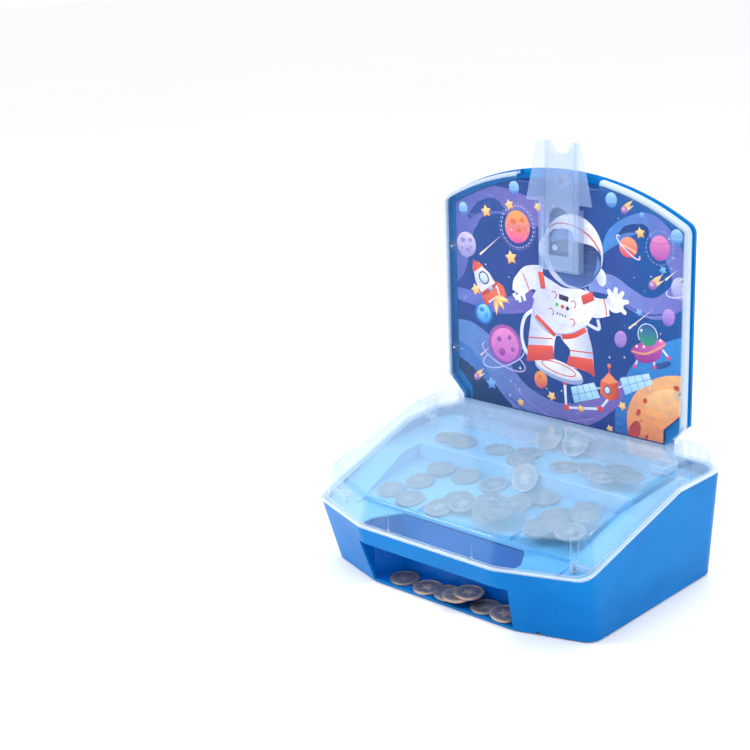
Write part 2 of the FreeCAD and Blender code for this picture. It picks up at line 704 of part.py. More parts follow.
def wire(points, radius=0.7):
    """Insulated lead along straight runs joined by tangent arcs."""
    route = [V(*p) for p in points]
    edges = []
    start = route[0]
    for a, b, c in zip(route, route[1:], route[2:]):
        to_a = (a - b).normalize()
        to_c = (c - b).normalize()
        half = to_a.getAngle(to_c) / 2
        bend = 0.45 * min((a - b).Length, (c - b).Length) * tan(half)
        reach = bend / tan(half)
        middle = b + (to_a + to_c).normalize() * (bend / sin(half) - bend)
        edges.append(Part.LineSegment(start, b + to_a * reach).toShape())
        edges.append(Part.Arc(b + to_a * reach, middle, b + to_c * reach).toShape())
        start = b + to_c * reach
    edges.append(Part.LineSegment(start, route[-1]).toShape())
    circle = Part.Wire(Part.makeCircle(radius, route[0], route[1] - route[0]))
    return Part.Wire(edges).makePipeShell([circle], True, True)


RED_ROUTE = [(-30.5, 84.3, 43.7), (-24, 84.3, 38), (-10, 84.3, 22), (18, 84.3, 18), (42, 84.3, 22), (49, 88, 30),
             (53.3, 92.4, 35.3)]
BLACK_ROUTE = [(-30.7, 84.3, 20), (-24, 84.3, 18), (-12, 83, 10), (10, 79, 7.2), (30, 71, 7.0), (42, 64, 7.6)]


# ---- clear cover -----------------------------------------------------------
def cover_top_z(y):
    """Height of the cover's sloping top."""
    if y >= KINK_Y + 4:
        return COVER_TOP_REAR
    return lerp(COVER_TOP_FRONT, COVER_TOP_REAR, (y - POST_Y) / (KINK_Y + 4 - POST_Y))


def cover_body(inset, drop):
    """Filled form of the cover: leaning walls cut off by the kinked top."""
    foot = plan_wire_at(inset + 0.6, 50.0)
    head = plan_wire_at(inset + 0.6, COVER_LEAN_Z, COVER_LEAN_FRONT, COVER_LEAN_CORNER, COVER_LEAN_REAR)
    body = Part.makeLoft([foot, head], True, True)
    front = cover_top_z(-150) - drop
    kink = KINK_Y + 4
    top = prism_x([(-150, 0), (150, 0), (150, COVER_TOP_REAR - drop), (kink, COVER_TOP_REAR - drop),
                   (-150, front)], -160, 160)
    return body.common(top)


def plan_wire_at(inset, z, front=0.0, corner=0.0, rear=0.0):
    """The rim's plan outline, moved inwards and drawn at a height; its corners can be drawn in further."""
    right = [(FACET_TOP - front / 4, FRONT_Y + front), (CORNER_TOP_X - corner, CORNER_TOP_Y + corner),
             (REAR_TOP_X - rear, REAR_Y - rear)]
    ring = offset_in(right + [(-x, y) for x, y in reversed(right)], inset)
    radii = [max(r - 0.8 * inset, 5.0) for r in (FACET_R, CORNER_R, REAR_R, REAR_R, CORNER_R, FACET_R)]
    return round_wire(ring, radii, z)


def above_rim(gap):
    """Everything more than a gap above the rim."""
    return prism_x([(-160, RIM_FRONT_Z + gap), (CORNER_TOP_Y, RIM_FRONT_Z + gap), (KINK_Y, RIM_REAR_Z + gap),
                    (160, RIM_REAR_Z + gap), (160, 200), (-160, 200)], -160, 160)


def clear_cover():
    """Transparent cover: hollow shell, edge flange, posts with webs, front ribs, board slot and sockets."""
    outer = cover_body(0, 0)
    inner = cover_body(COVER_WALL, COVER_WALL)
    top_edges = [e for e in outer.Edges if e.BoundBox.ZMin > 78 and is_rim_edge(e)]
    outer = outer.makeFillet(7.0, top_edges)
    inner_edges = [e for e in inner.Edges if e.BoundBox.ZMin > 76 and is_rim_edge(e)]
    inner = inner.makeFillet(5.0, inner_edges)
    shell = outer.cut(inner).common(above_rim(0.1))
    flange = Part.makeLoft([plan_wire_at(0.0, 40), plan_wire_at(0.0, 120)], True, True)
    flange = flange.cut(Part.makeLoft([plan_wire_at(FLANGE, 39), plan_wire_at(FLANGE, 121)], True, True))
    flange = flange.common(above_rim(0.1)).common(under_rim(-2.0))
    shell = shell.fuse(flange)
    pieces = []
    for x, y, z in posts():
        post = rod(POST_R, x, y, z, cover_top_z(y) - 1)
        side = 1 if x > 0 else -1
        x_a, x_b = sorted((x, x + side * 30))
        pieces.append(post)
        web = box(x_a, x_b, y - 0.8, y + 0.8, z + 0.2, cover_top_z(y) - 1)
        pieces.append(web.common(inner).common(above_rim(-2.0)))
    for x in (-41.0, 41.0):
        rib = box(x - 0.8, x + 0.8, -104, -88, RIM_FRONT_Z - 1, RIM_FRONT_Z + 16)
        pieces.append(rib.common(cover_body(1.0, 1.0)).cut(prism_x([(-92, 0), (-80, 0), (-80, 90), (-97, 90)],
                                                                   -60, 60)))
    pieces = [p.common(outer) for p in pieces]
    shell = shell.fuse([p for p in pieces if p.Volume > 0.1])
    gap = 0.35
    y0, y1 = BOARD_FRONT_Y - gap, BOARD_BACK_Y + gap
    slot_x = TONGUE_X + gap
    frame = box(-slot_x - 1.8, slot_x + 1.8, y0 - 1.8, y1 + 1.8, 98.0, COVER_TOP_REAR)
    shell = shell.fuse(frame.cut(box(-slot_x, slot_x, y0, y1, 90, 120)))
    tower = box(slot_x - 12, slot_x + 1.8, y0 - 1.8, y1 + 1.8, 84.0, COVER_TOP_REAR - 1)
    tower = tower.cut(box(slot_x - 14, slot_x, y0, y1, 80, 120))
    shell = shell.fuse(both(tower))
    shell = shell.cut(box(-slot_x, slot_x, y0, y1, 80, 120))
    for x, y, z in posts():
        shell = shell.cut(rod(1.2, x, y, 40, z + 14))
    for x in (104.0, 112.0, 120.0):
        rib = box(x - 0.7, x + 0.7, 90.0, 101.0, 92.0, COVER_TOP_REAR - 1).common(inner)
        shell = shell.fuse(both(rib)) if rib.Volume > 1 else shell
    return shell.removeSplitter()


def is_rim_edge(edge):
    """True for an edge of the cover's top that borders a wall."""
    faces = edge.BoundBox
    on_kink = abs(faces.YMax - (KINK_Y + 4)) < 0.5 and abs(faces.YMin - (KINK_Y + 4)) < 0.5
    steep = faces.ZMax - faces.ZMin > 26 or (faces.ZMax > 109)
    return not on_kink and not steep


SCREW_BITE = 4.5          # how far the cover's screws reach into its posts


def cover_screws():
    """Screws up through the tray's ledges into the cover's posts."""
    screws = []
    for x, y, z in posts():
        under = ledge_z(y - POST_R) - SHEET - 0.1
        screws.append(rod(2.8, x, y, under - 1.6, under).fuse(rod(1.18, x, y, under, z + SCREW_BITE)))
    return screws


# ---- board -----------------------------------------------------------------
def board_radius():
    """Radius of the board's arched top."""
    rise = BOARD_APEX_Z - BOARD_SPRING_Z
    return (BOARD_X ** 2 + rise ** 2) / (2 * rise)


def board_form(inset, y0, y1, foot=None):
    """Arch-topped slab with a narrower tongue at its foot."""
    x = BOARD_X - inset
    r = board_radius()
    centre = BOARD_APEX_Z - r
    spring = centre + sqrt((r - inset) ** 2 - x ** 2)
    tongue = TONGUE_X - inset
    low = (BOARD_FOOT_Z if foot is None else foot) + inset
    shoulder = COVER_TOP_REAR + 0.3 + inset
    rise = shoulder + BOARD_X - TONGUE_X
    line = [(-x, spring), (-x, rise), (-tongue, shoulder), (-tongue, low), (tongue, low), (tongue, shoulder),
            (x, rise), (x, spring)]
    pts = [V(a, y0, b) for a, b in line]
    edges = [Part.LineSegment(p, q).toShape() for p, q in zip(pts, pts[1:])]
    edges.append(Part.Arc(pts[-1], V(0, y0, BOARD_APEX_Z - inset), pts[0]).toShape())
    slab = Part.Face(Part.Wire(edges)).extrude(V(0, y1 - y0, 0))
    corners = [e for e in slab.Edges if abs(e.BoundBox.YLength - (y1 - y0)) < 0.01
               and abs(e.BoundBox.ZMin - spring) < 0.01 and e.BoundBox.ZLength < 0.01]
    return slab.makeFillet(max(9.0 - inset, 1.5), corners)


NOTCH_X = 40.0            # half width of the gap in the top edge where the chute swings
NOTCH_Z = 303.5
BOARD_SCREWS = [(-111.0, 150), (111.0, 150), (-111.0, 240), (111.0, 240)]


def back_shell():
    """Blue shell behind the card, with a raised edge, shallow grooves and the chute's pivot boss."""
    t = 2.4
    shell = board_form(0, PARTING_Y, BOARD_BACK_Y).cut(board_form(t, PARTING_Y - 1, BOARD_BACK_Y - t))
    bead = board_form(-0.9, PARTING_Y + 2.2, PARTING_Y + 3.6).cut(board_form(0.5, PARTING_Y, BOARD_BACK_Y))
    bead = bead.common(box(-160, 160, 0, 200, 125, 400))
    shell = shell.fuse(bead)
    shell = shell.cut(box(-TONGUE_X + 3, TONGUE_X - 3, 70, BOARD_BACK_Y + 1, 80, CARD_FOOT_Z - 6.4))
    shell = shell.cut(box(-NOTCH_X, NOTCH_X, 70, CARD_FRONT_Y + 0.1, NOTCH_Z, 330))
    for x, z in BOARD_SCREWS:
        shell = shell.cut(rod_y(1.5, x, z, 70, 100)).cut(rod_y(2.9, x, z, BOARD_BACK_Y - 1.3, 100))
    shell = shell.fuse(rod_y(8.4, 0, PIVOT_Z, CARD_FRONT_Y + 0.1, BOARD_BACK_Y))
    shell = shell.cut(rod_y(PIVOT_R + RUN, 0, PIVOT_Z, 70, 100)).cut(rod_y(7.3, 0, PIVOT_Z, PIVOT_SEAT_Y, 100))
    for k in range(4):
        z = 150 + 32 * k
        shell = shell.cut(box(-70, 70, BOARD_BACK_Y - 0.8, BOARD_BACK_Y + 1, z, z + 1.2))
    return shell.removeSplitter()


def art_card():
    """Printed card in front of the back shell."""
    card = board_form(BOARD_X - CARD_X, CARD_FRONT_Y, CARD_FRONT_Y + CARD_T)
    card = card.common(box(-160, 160, 0, 200, CARD_FOOT_Z, 400))
    for x, z in BOARD_SCREWS:
        card = card.cut(rod_y(4.0, x, z, 70, 100))
    return card.cut(rod_y(8.8, 0, PIVOT_Z, 70, 100))


def front_window():
    """Clear window: flat face, rolled edge with a notch for the chute, and screw bosses."""
    t = WINDOW_T
    window = board_form(0, BOARD_FRONT_Y, PARTING_Y - 0.1)
    face_edges = [e for e in window.Edges if e.BoundBox.YMax < BOARD_FRONT_Y + 0.01 and e.BoundBox.ZMax > 120]
    window = window.makeFillet(1.6, face_edges)
    window = window.cut(board_form(t, BOARD_FRONT_Y + t, PARTING_Y + 1))
    rail = board_form(5.0, BOARD_FRONT_Y - 1, BOARD_FRONT_Y + 0.6)
    window = window.cut(rail.common(box(-160, 160, 0, 200, 128, 400)))
    notch = box(-NOTCH_X, NOTCH_X, 70, PARTING_Y + 1, NOTCH_Z, 330)
    window = window.cut(notch)
    window = window.cut(box(-TONGUE_X + 3, TONGUE_X - 3, 70, PARTING_Y + 1, 80, 99.5))
    for x, z in BOARD_SCREWS:
        boss = rod_y(3.6, x, z, BOARD_FRONT_Y + t - 0.2, CARD_FRONT_Y + 1.2)
        window = window.fuse(boss).cut(rod_y(1.1, x, z, BOARD_FRONT_Y + t + 1, 100))
    return window.removeSplitter()


def board_screws():
    """Screws from behind that join shell and window."""
    screws = []
    for x, z in BOARD_SCREWS:
        head = rod_y(2.7, x, z, BOARD_BACK_Y - 1.25, BOARD_BACK_Y - 0.1)
        cross = box(x - 2, x + 2, BOARD_BACK_Y - 0.7, 90, z - 0.3, z + 0.3)
        screws.append(head.fuse(rod_y(1.08, x, z, PARTING_Y - 2.6, BOARD_BACK_Y - 1.25)).cut(cross))
    return screws


def chute_pivot():
    """Broad-headed screw that holds the chute's hub in the back shell and turns with it."""
    z = PIVOT_Z
    head = rod_y(7.0, 0, z, PIVOT_SEAT_Y + 0.1, BOARD_BACK_Y - 0.05)
    cross = box(-3, 3, BOARD_BACK_Y - 0.6, 90, z - 0.5, z + 0.5)
    cross = cross.fuse(box(-0.5, 0.5, BOARD_BACK_Y - 0.6, 90, z - 3, z + 3))
    return head.cut(cross).fuse(rod_y(1.2, 0, z, CHUTE_FRONT_Y + CHUTE_T - 0.5, PIVOT_SEAT_Y + 0.1))


def scraper():
    """Slanted strip below the card that slides coins on to the shelf and holds them back from its rear."""
    t = 1.2
    top = (CARD_FRONT_Y, 99.6)
    foot = (BOARD_FRONT_Y - 0.2, SHELF_TOP + 0.4)
    half = TONGUE_X - 4
    strip = prism_x([top, foot, (foot[0] + t * 1.15, foot[1]), (top[0] + t * 1.15, top[1])], -half, half)
    lip = box(-half, half, CARD_FRONT_Y, CARD_FRONT_Y + 1.3, 99.6, 103.8)
    return strip.fuse(lip).removeSplitter()


# ---- coin chute ------------------------------------------------------------
def coin_chute():
    """Clear chute: flared hood with a thumb notch, coin channel, pivot hole and arched neck."""
    t = CHUTE_WALL
    y0, y1 = CHUTE_FRONT_Y, CHUTE_FRONT_Y + CHUTE_T
    half = [(NECK_X, NECK_FOOT_Z), (NECK_X, HOOD_FOOT_Z), (HOOD_FOOT_X, HOOD_FOOT_Z), (HOOD_TOP_X, CHUTE_TOP_Z)]
    outline = half + [(-x, z) for x, z in reversed(half)]
    chute = prism_y(outline, y0, y1)
    chute = chute.cut(box(-CHANNEL_X, CHANNEL_X, y0 + t, y1 - t, 200, 400))
    rail = CHANNEL_X + 1.3
    side = [(rail, CHUTE_TOP_Z + 1), (rail, HOOD_FOOT_Z - 5), (HOOD_FOOT_X + 5, HOOD_FOOT_Z - 5),
            (HOOD_FOOT_X + 5, CHUTE_TOP_Z + 1)]
    wing = prism_y(side, y0 + t, y1 + 1)
    chute = chute.cut(both(wing))
    flank = box(rail, NECK_X - 1.2, y0 + t, y1 + 1, 200, HOOD_FOOT_Z - 1.2)
    chute = chute.cut(both(flank))
    thumb = rod_y(11.6, 0, CHUTE_TOP_Z + 1.5, y0 - 1, y1 + 1)
    chute = chute.cut(thumb)
    arch = box(-9.5, 9.5, y0 - 1, y0 + t + 0.5, 246, 276).fuse(rod_y(9.5, 0, 276, y0 - 1, y0 + t + 0.5))
    chute = chute.cut(arch)
    hub = rod_y(PIVOT_R, 0, PIVOT_Z, y1 - 0.1, PIVOT_SEAT_Y + 0.05)
    return chute.fuse(hub).cut(rod_y(1.2, 0, PIVOT_Z, y1 - 0.5, 100)).removeSplitter()


# ---- coins -----------------------------------------------------------------
def coin():
    """One token lying flat at the origin: raised rim, sunken faces."""
    disc = Part.makeCylinder(COIN_R, COIN_T, V(0, 0, 0))
    disc = disc.makeFillet(0.35, disc.Edges[:1] + disc.Edges[2:3])
    for z in (-1.0, COIN_T - 0.25):
        disc = disc.cut(Part.makeCylinder(COIN_R - 1.3, 1.25, V(0, 0, z)))
    return disc


def placed(shape, x, y, z, tilt=0.0, heading=90.0):
    """Copy turned about a level axis so that it rises by tilt towards heading, then moved."""
    copy = shape.copy()
    axis = V(-sin(radians(heading)), cos(radians(heading)), 0)
    copy.rotate(V(0, 0, 0), axis, -tilt)
    copy.translate(V(x, y, z))
    return copy


def scatter(spots):
    """Lay coins in turn on the plane z = 0: flat, leaning on one coin, or flat on top of several."""
    token = coin()
    laid = []
    solids = []
    for x, y in spots:
        under = [c for c in laid if hypot(x - c[0], y - c[1]) < 2 * COIN_R + 0.3]
        if not under:
            solids.append(placed(token, x, y, GAP))
            laid.append((x, y, GAP + COIN_T))
        elif len(under) == 1 and under[0][2] < 1.5 * COIN_T and hypot(x - under[0][0], y - under[0][1]) > COIN_R / 2:
            u, v, top = under[0]
            lean = degrees(atan((top + GAP) / hypot(u - x, v - y)))
            centre = GAP + COIN_R * sin(radians(lean))
            solids.append(placed(token, x, y, centre, lean, degrees(atan2(v - y, u - x))))
            laid.append((x, y, centre + COIN_R * sin(radians(lean)) + COIN_T))
        else:
            lift = max(c[2] for c in under) + GAP
            solids.append(placed(token, x, y, lift))
            laid.append((x, y, lift + COIN_T))
    return solids


DECK_SPOTS = [(-88, -38), (-64, -43), (-75, -16), (-71, 7.2), (-45, 7.2), (-17, 6.9), (-28, -25), (-3, -14),
              (-32, -44), (-14, -35), (10, -35), (20, -6), (17, -44), (31.5, -26), (34, 6.9), (59, -9),
              (74, 7.2), (60, -19), (72, -27), (86, -12), (65, -44), (90, -37), (28, -43)]
SHELF_SPOTS = [(-90, 40), (-73, 37), (-38, 42), (-13, 50), (-8, 32), (28, 42), (50, 48), (73, 51), (73, 28.5),
               (92, 36)]
PAYOUT_SPOTS = [(-48, -70.5), (-23, -72), (34, -71), (-2, -72), (54, -73), (10, -75.5), (17, -70)]


def shelf_coins():
    """Coins lying on the shelf."""
    coins = scatter(SHELF_SPOTS)
    for token in coins:
        token.translate(V(0, 0, SHELF_TOP))
    return coins


def deck_coins():
    """Coins heaped on the sloping deck in front of the pusher."""
    coins = scatter(DECK_SPOTS)
    pitch = degrees(atan(deck_slope()))
    for token in coins:
        token.rotate(V(0, DECK_FRONT_Y, 0), V(1, 0, 0), pitch)
        token.translate(V(0, 0, DECK_FRONT_Z))
    return coins


def leaning_coin():
    """Coin propped against the pusher's face."""
    tilt = 56.0
    foot_y = FACE_Y - (SHELF_TOP - DECK_REAR_Z) / tan(radians(tilt)) - 0.9
    centre = (foot_y + COIN_R * cos(radians(tilt)), DECK_REAR_Z + 0.3 + COIN_R * sin(radians(tilt)))
    return placed(coin(), 9.0, *centre, tilt)


def ramp_coins():
    """Two coins that have just slid down the scraper."""
    return [placed(coin(), x, BOARD_FRONT_Y + 0.2, 90.6, 50.0) for x in (-7.0, 19.0)]


def payout_coins():
    """Won coins on the bin's floor."""
    coins = scatter(PAYOUT_SPOTS)
    for token in coins:
        token.translate(V(0, 0, MOUTH_FOOT_Z + 0.2))
    return coins


def main():
    """Write every node."""
    os.makedirs("parts", exist_ok=True)
    save("housing", housing())
    save("base_plate", base_plate())
    save("base_screws", *base_screws())
    save("rubber_feet", *rubber_feet())
    save("payout_bin", payout_bin())
    save("playfield_tray", playfield_tray())
    save("tray_screws", *tray_screws())
    save("guide_rails", *guide_rails())
    save("pusher_shelf", pusher_shelf())
    save("pusher_yoke", pusher_yoke())
    gear_train()
    save("gear_pins", *gear_pins())
    save("gearbox_low", gearbox_low())
    save("gearbox_high", gearbox_high())
    save("gearbox_screws", *gearbox_screws())
    save("motor_can", motor_can())
    save("motor_cap", motor_cap())
    save("motor_rotor", motor_rotor())
    save("battery_box", battery_box())
    save("batteries", *batteries())
    save("battery_contacts", *battery_contacts())
    save("battery_door", battery_door())
    save("door_screw", door_screw())
    save("switch_body", switch_body())
    save("switch_knob", switch_knob())
    save("red_lead", wire(RED_ROUTE))
    save("black_lead", wire(BLACK_ROUTE))
    save("clear_cover", clear_cover())
    save("cover_screws", *cover_screws())
    save("back_shell", back_shell())
    save("art_card", art_card())
    save("front_window", front_window())
    save("board_screws", *board_screws())
    save("chute_pivot", chute_pivot())
    save("scraper", scraper())
    save("coin_chute", coin_chute())
    save("shelf_coins", *shelf_coins())
    save("deck_coins", *deck_coins())
    save("leaning_coin", leaning_coin())
    save("ramp_coins", *ramp_coins())
    save("payout_coins", *payout_coins())


main()
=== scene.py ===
"""Coin pusher toy: moulded and clear plastics, struck tokens, the printed card and a daylight studio."""

import logging
import math
import random
from dataclasses import dataclass, field
from enum import Enum
from typing import Any, Callable, ClassVar

import bmesh
import bpy
import numpy as np
from mathutils import Matrix, Vector


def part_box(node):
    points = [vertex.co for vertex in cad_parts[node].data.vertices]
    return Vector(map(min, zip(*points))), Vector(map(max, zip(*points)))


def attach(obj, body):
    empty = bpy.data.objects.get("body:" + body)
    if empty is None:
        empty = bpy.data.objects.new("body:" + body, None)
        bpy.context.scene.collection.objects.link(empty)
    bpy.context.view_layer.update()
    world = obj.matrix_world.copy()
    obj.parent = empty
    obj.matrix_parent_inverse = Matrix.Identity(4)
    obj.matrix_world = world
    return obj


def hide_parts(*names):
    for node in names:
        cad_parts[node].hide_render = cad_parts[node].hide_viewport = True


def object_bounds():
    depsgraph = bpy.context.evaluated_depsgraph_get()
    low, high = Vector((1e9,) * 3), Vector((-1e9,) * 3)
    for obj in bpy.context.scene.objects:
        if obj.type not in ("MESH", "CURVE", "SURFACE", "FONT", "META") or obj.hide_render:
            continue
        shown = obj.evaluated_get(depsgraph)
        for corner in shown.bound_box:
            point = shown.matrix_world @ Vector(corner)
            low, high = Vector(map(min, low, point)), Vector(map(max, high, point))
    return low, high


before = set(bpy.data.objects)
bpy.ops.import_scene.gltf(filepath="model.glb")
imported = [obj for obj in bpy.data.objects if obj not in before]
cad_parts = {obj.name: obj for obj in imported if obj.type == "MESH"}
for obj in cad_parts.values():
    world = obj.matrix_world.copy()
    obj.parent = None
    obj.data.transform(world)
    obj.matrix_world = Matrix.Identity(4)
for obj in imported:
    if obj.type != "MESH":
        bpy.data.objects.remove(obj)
CAD_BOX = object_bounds()

log = logging.getLogger("coin_pusher")

MM = 0.001
# Radius of the arch on top of the printed card.
ARCH_RADIUS = 220.1 * MM
# The housing's rim climbs from a low front to a high rear between two bends.
RIM_LOW, RIM_HIGH = 56.3 * MM, 88.1 * MM
RIM_BEND_FRONT, RIM_BEND_REAR = -79.2 * MM, 38.5 * MM
# Corners closer than this are one corner, and edges flatter than this are level.
WELD = 0.01 * MM
LEVEL = 0.001 * MM
SHARP_ANGLE = math.radians(35.0)
TINT = "tint"
Colour = tuple[float, float, float, float]
CHALK: Colour = (1.0, 1.0, 1.0, 1.0)


class Slot(str, Enum):
    """Material slots of the part."""

    BLUE = "blue_plastic"
    DARK_BLUE = "dark_blue_plastic"
    BIN = "bin_blue"
    TRAY = "tray_blue"
    WHITE = "white_plastic"
    GREY = "grey_plastic"
    BLACK = "black_plastic"
    CLEAR = "clear_plastic"
    CHUTE = "chute_plastic"
    SCRAPER = "scraper_plastic"
    CARD = "printed_card"
    NICKEL = "coin_nickel"
    BRONZE = "coin_bronze"
    STEEL = "steel"
    MOTOR = "motor_steel"
    BRASS = "brass"
    CELL = "cell_wrap"
    RUBBER = "rubber"
    RED_LEAD = "red_insulation"
    BLACK_LEAD = "black_insulation"


class Body(str, Enum):
    """Moving bodies that new pieces ride on."""

    MACHINE = "machine"
    PUSHER = "pusher"


def ink(code: str, alpha: float = 1.0) -> Colour:
    """Turn a six-digit display colour into linear light.

    Args:
        code: Red, green and blue as hexadecimal pairs.
        alpha: Opacity.

    Returns:
        Linear red, green, blue and alpha.
    """
    shares = [int(code[i:i + 2], 16) / 255 for i in (0, 2, 4)]
    linear = [s / 12.92 if s <= 0.04045 else ((s + 0.055) / 1.055) ** 2.4 for s in shares]
    return (linear[0], linear[1], linear[2], alpha)


def blend_ink(a: Colour, b: Colour, share: float) -> Colour:
    """Mix two linear colours.

    Args:
        a: Colour at share 0.
        b: Colour at share 1.
        share: How much of b.

    Returns:
        The mixed colour.
    """
    share = min(max(share, 0.0), 1.0)
    return tuple(p + (q - p) * share for p, q in zip(a, b))


class Term:
    """One shader socket that can be used in Python arithmetic."""

    def __init__(self, paint: "Paint", socket: bpy.types.NodeSocket) -> None:
        """Keep the socket and the material it belongs to.

        Args:
            paint: Material being built.
            socket: Output socket.
        """
        self.paint = paint
        self.socket = socket

    def _math(self, operation: str, *values: Any) -> "Term":
        """Add a Math node over the given values.

        Args:
            operation: Math operation.
            values: Numbers or terms.

        Returns:
            The node's result.
        """
        return self.paint.node("ShaderNodeMath", {"operation": operation}, dict(enumerate(values)))[0]

    def __add__(self, other: Any) -> "Term":
        """Sum."""
        return self._math("ADD", self, other)

    def __radd__(self, other: Any) -> "Term":
        """Sum with a number on the left."""
        return self._math("ADD", other, self)

    def __sub__(self, other: Any) -> "Term":
        """Difference."""
        return self._math("SUBTRACT", self, other)

    def __rsub__(self, other: Any) -> "Term":
        """Difference from a number on the left."""
        return self._math("SUBTRACT", other, self)

    def __mul__(self, other: Any) -> "Term":
        """Product."""
        return self._math("MULTIPLY", self, other)

    def __rmul__(self, other: Any) -> "Term":
        """Product with a number on the left."""
        return self._math("MULTIPLY", other, self)

    def __pow__(self, other: Any) -> "Term":
        """Power."""
        return self._math("POWER", self, other)

    def clipped(self) -> "Term":
        """Value held between 0 and 1."""
        return self.paint.node("ShaderNodeClamp", {}, {"Value": self})[0]

    def between(self, low: float, high: float) -> "Term":
        """Smooth step from 0 at low to 1 at high.

        Args:
            low: Value that gives 0.
            high: Value that gives 1.

        Returns:
            The eased share.
        """
        settings = {"interpolation_type": "SMOOTHSTEP"}
        return self.paint.node("ShaderNodeMapRange", settings, {"Value": self, 1: low, 2: high})[0]


class Paint:
    """A node material with one Principled shader, built by method calls."""

    def __init__(self, name: str) -> None:
        """Start an empty node tree.

        Args:
            name: Material name.
        """
        self.material = bpy.data.materials.new(name)
        self.material.use_nodes = True
        self.tree = self.material.node_tree
        self.tree.nodes.clear()
        self.out = self.tree.nodes.new("ShaderNodeOutputMaterial")
        self.place = self.node("ShaderNodeTexCoord")[3]

    def node(self, kind: str, settings: dict[str, Any] | None = None,
             sockets: dict[Any, Any] | None = None) -> list[Term]:
        """Add a node.

        Args:
            kind: Node type.
            settings: Node properties, or a ramp's stops under "stops"; set first.
            sockets: Values or terms by socket name or number.

        Returns:
            The node's outputs.
        """
        made = self.tree.nodes.new(kind)
        for key, value in (settings or {}).items():
            if key == "stops":
                self._stops(made.color_ramp, value)
            else:
                setattr(made, key, value)
        for key, value in (sockets or {}).items():
            if isinstance(value, Term):
                self.tree.links.new(value.socket, made.inputs[key])
            else:
                made.inputs[key].default_value = value
        return [Term(self, socket) for socket in made.outputs]

    @staticmethod
    def _stops(ramp: bpy.types.ColorRamp, stops: list[tuple[float, Colour]]) -> None:
        """Fill a colour ramp.

        Args:
            ramp: Ramp to fill.
            stops: Places and colours.
        """
        while len(ramp.elements) < len(stops):
            ramp.elements.new(1.0)
        for element, (place, colour) in zip(ramp.elements, stops):
            element.position = place
            element.color = colour

    def noise(self, scale: float, detail: float = 3.0, roughness: float = 0.5, stretch: Any = None) -> Term:
        """Noise on Object coordinates.

        Args:
            scale: Waves per metre.
            detail: Octaves.
            roughness: Strength of the fine octaves.
            stretch: Scale of each axis, or None.

        Returns:
            Noise from 0 to 1.
        """
        place = self.place
        if stretch:
            place = self.node("ShaderNodeMapping", {}, {"Vector": place, "Scale": stretch})[0]
        return self.node("ShaderNodeTexNoise", {}, {"Vector": place, "Scale": scale, "Detail": detail,
                                                    "Roughness": roughness})[0]

    def cells(self, scale: float, feature: str = "F1", stretch: Any = None) -> Term:
        """Distance to the nearest of scattered points.

        Args:
            scale: Points per metre.
            feature: Voronoi feature.
            stretch: Scale of each axis, or None.

        Returns:
            The distance.
        """
        place = self.place
        if stretch:
            place = self.node("ShaderNodeMapping", {}, {"Vector": place, "Scale": stretch})[0]
        return self.node("ShaderNodeTexVoronoi", {"feature": feature}, {"Vector": place, "Scale": scale})[0]

    def mix(self, share: Any, a: Any, b: Any, mode: str = "MIX") -> Term:
        """Mix two colours.

        Args:
            share: How much of b.
            a: First colour.
            b: Second colour.
            mode: Blend mode.

        Returns:
            The mixed colour.
        """
        settings = {"data_type": "RGBA", "blend_type": mode}
        return self.node("ShaderNodeMix", settings, {0: share, 6: a, 7: b})[2]

    def bump(self, height: Term, depth: float, strength: float = 1.0) -> Term:
        """Turn a height into a normal.

        Args:
            height: Height from 0 to 1.
            depth: Real depth in metres.
            strength: Strength of the effect.

        Returns:
            The normal.
        """
        return self.node("ShaderNodeBump", {}, {"Height": height, "Distance": depth, "Strength": strength})[0]

    def facing(self, share: float = 0.5) -> Term:
        """Layer weight that is 0 face-on and rises towards a silhouette.

        Args:
            share: Blend of the layer weight.

        Returns:
            The weight.
        """
        return self.node("ShaderNodeLayerWeight", {}, {"Blend": share})[1]

    def close(self, **sockets: Any) -> bpy.types.Material:
        """Finish with a Principled shader.

        Args:
            sockets: Values or terms by socket name, with underscores for spaces.

        Returns:
            The finished material.
        """
        named = {key.replace("_", " "): value for key, value in sockets.items()}
        shader = self.node("ShaderNodeBsdfPrincipled", {}, named)[0]
        self.tree.links.new(shader.socket, self.out.inputs["Surface"])
        return self.material


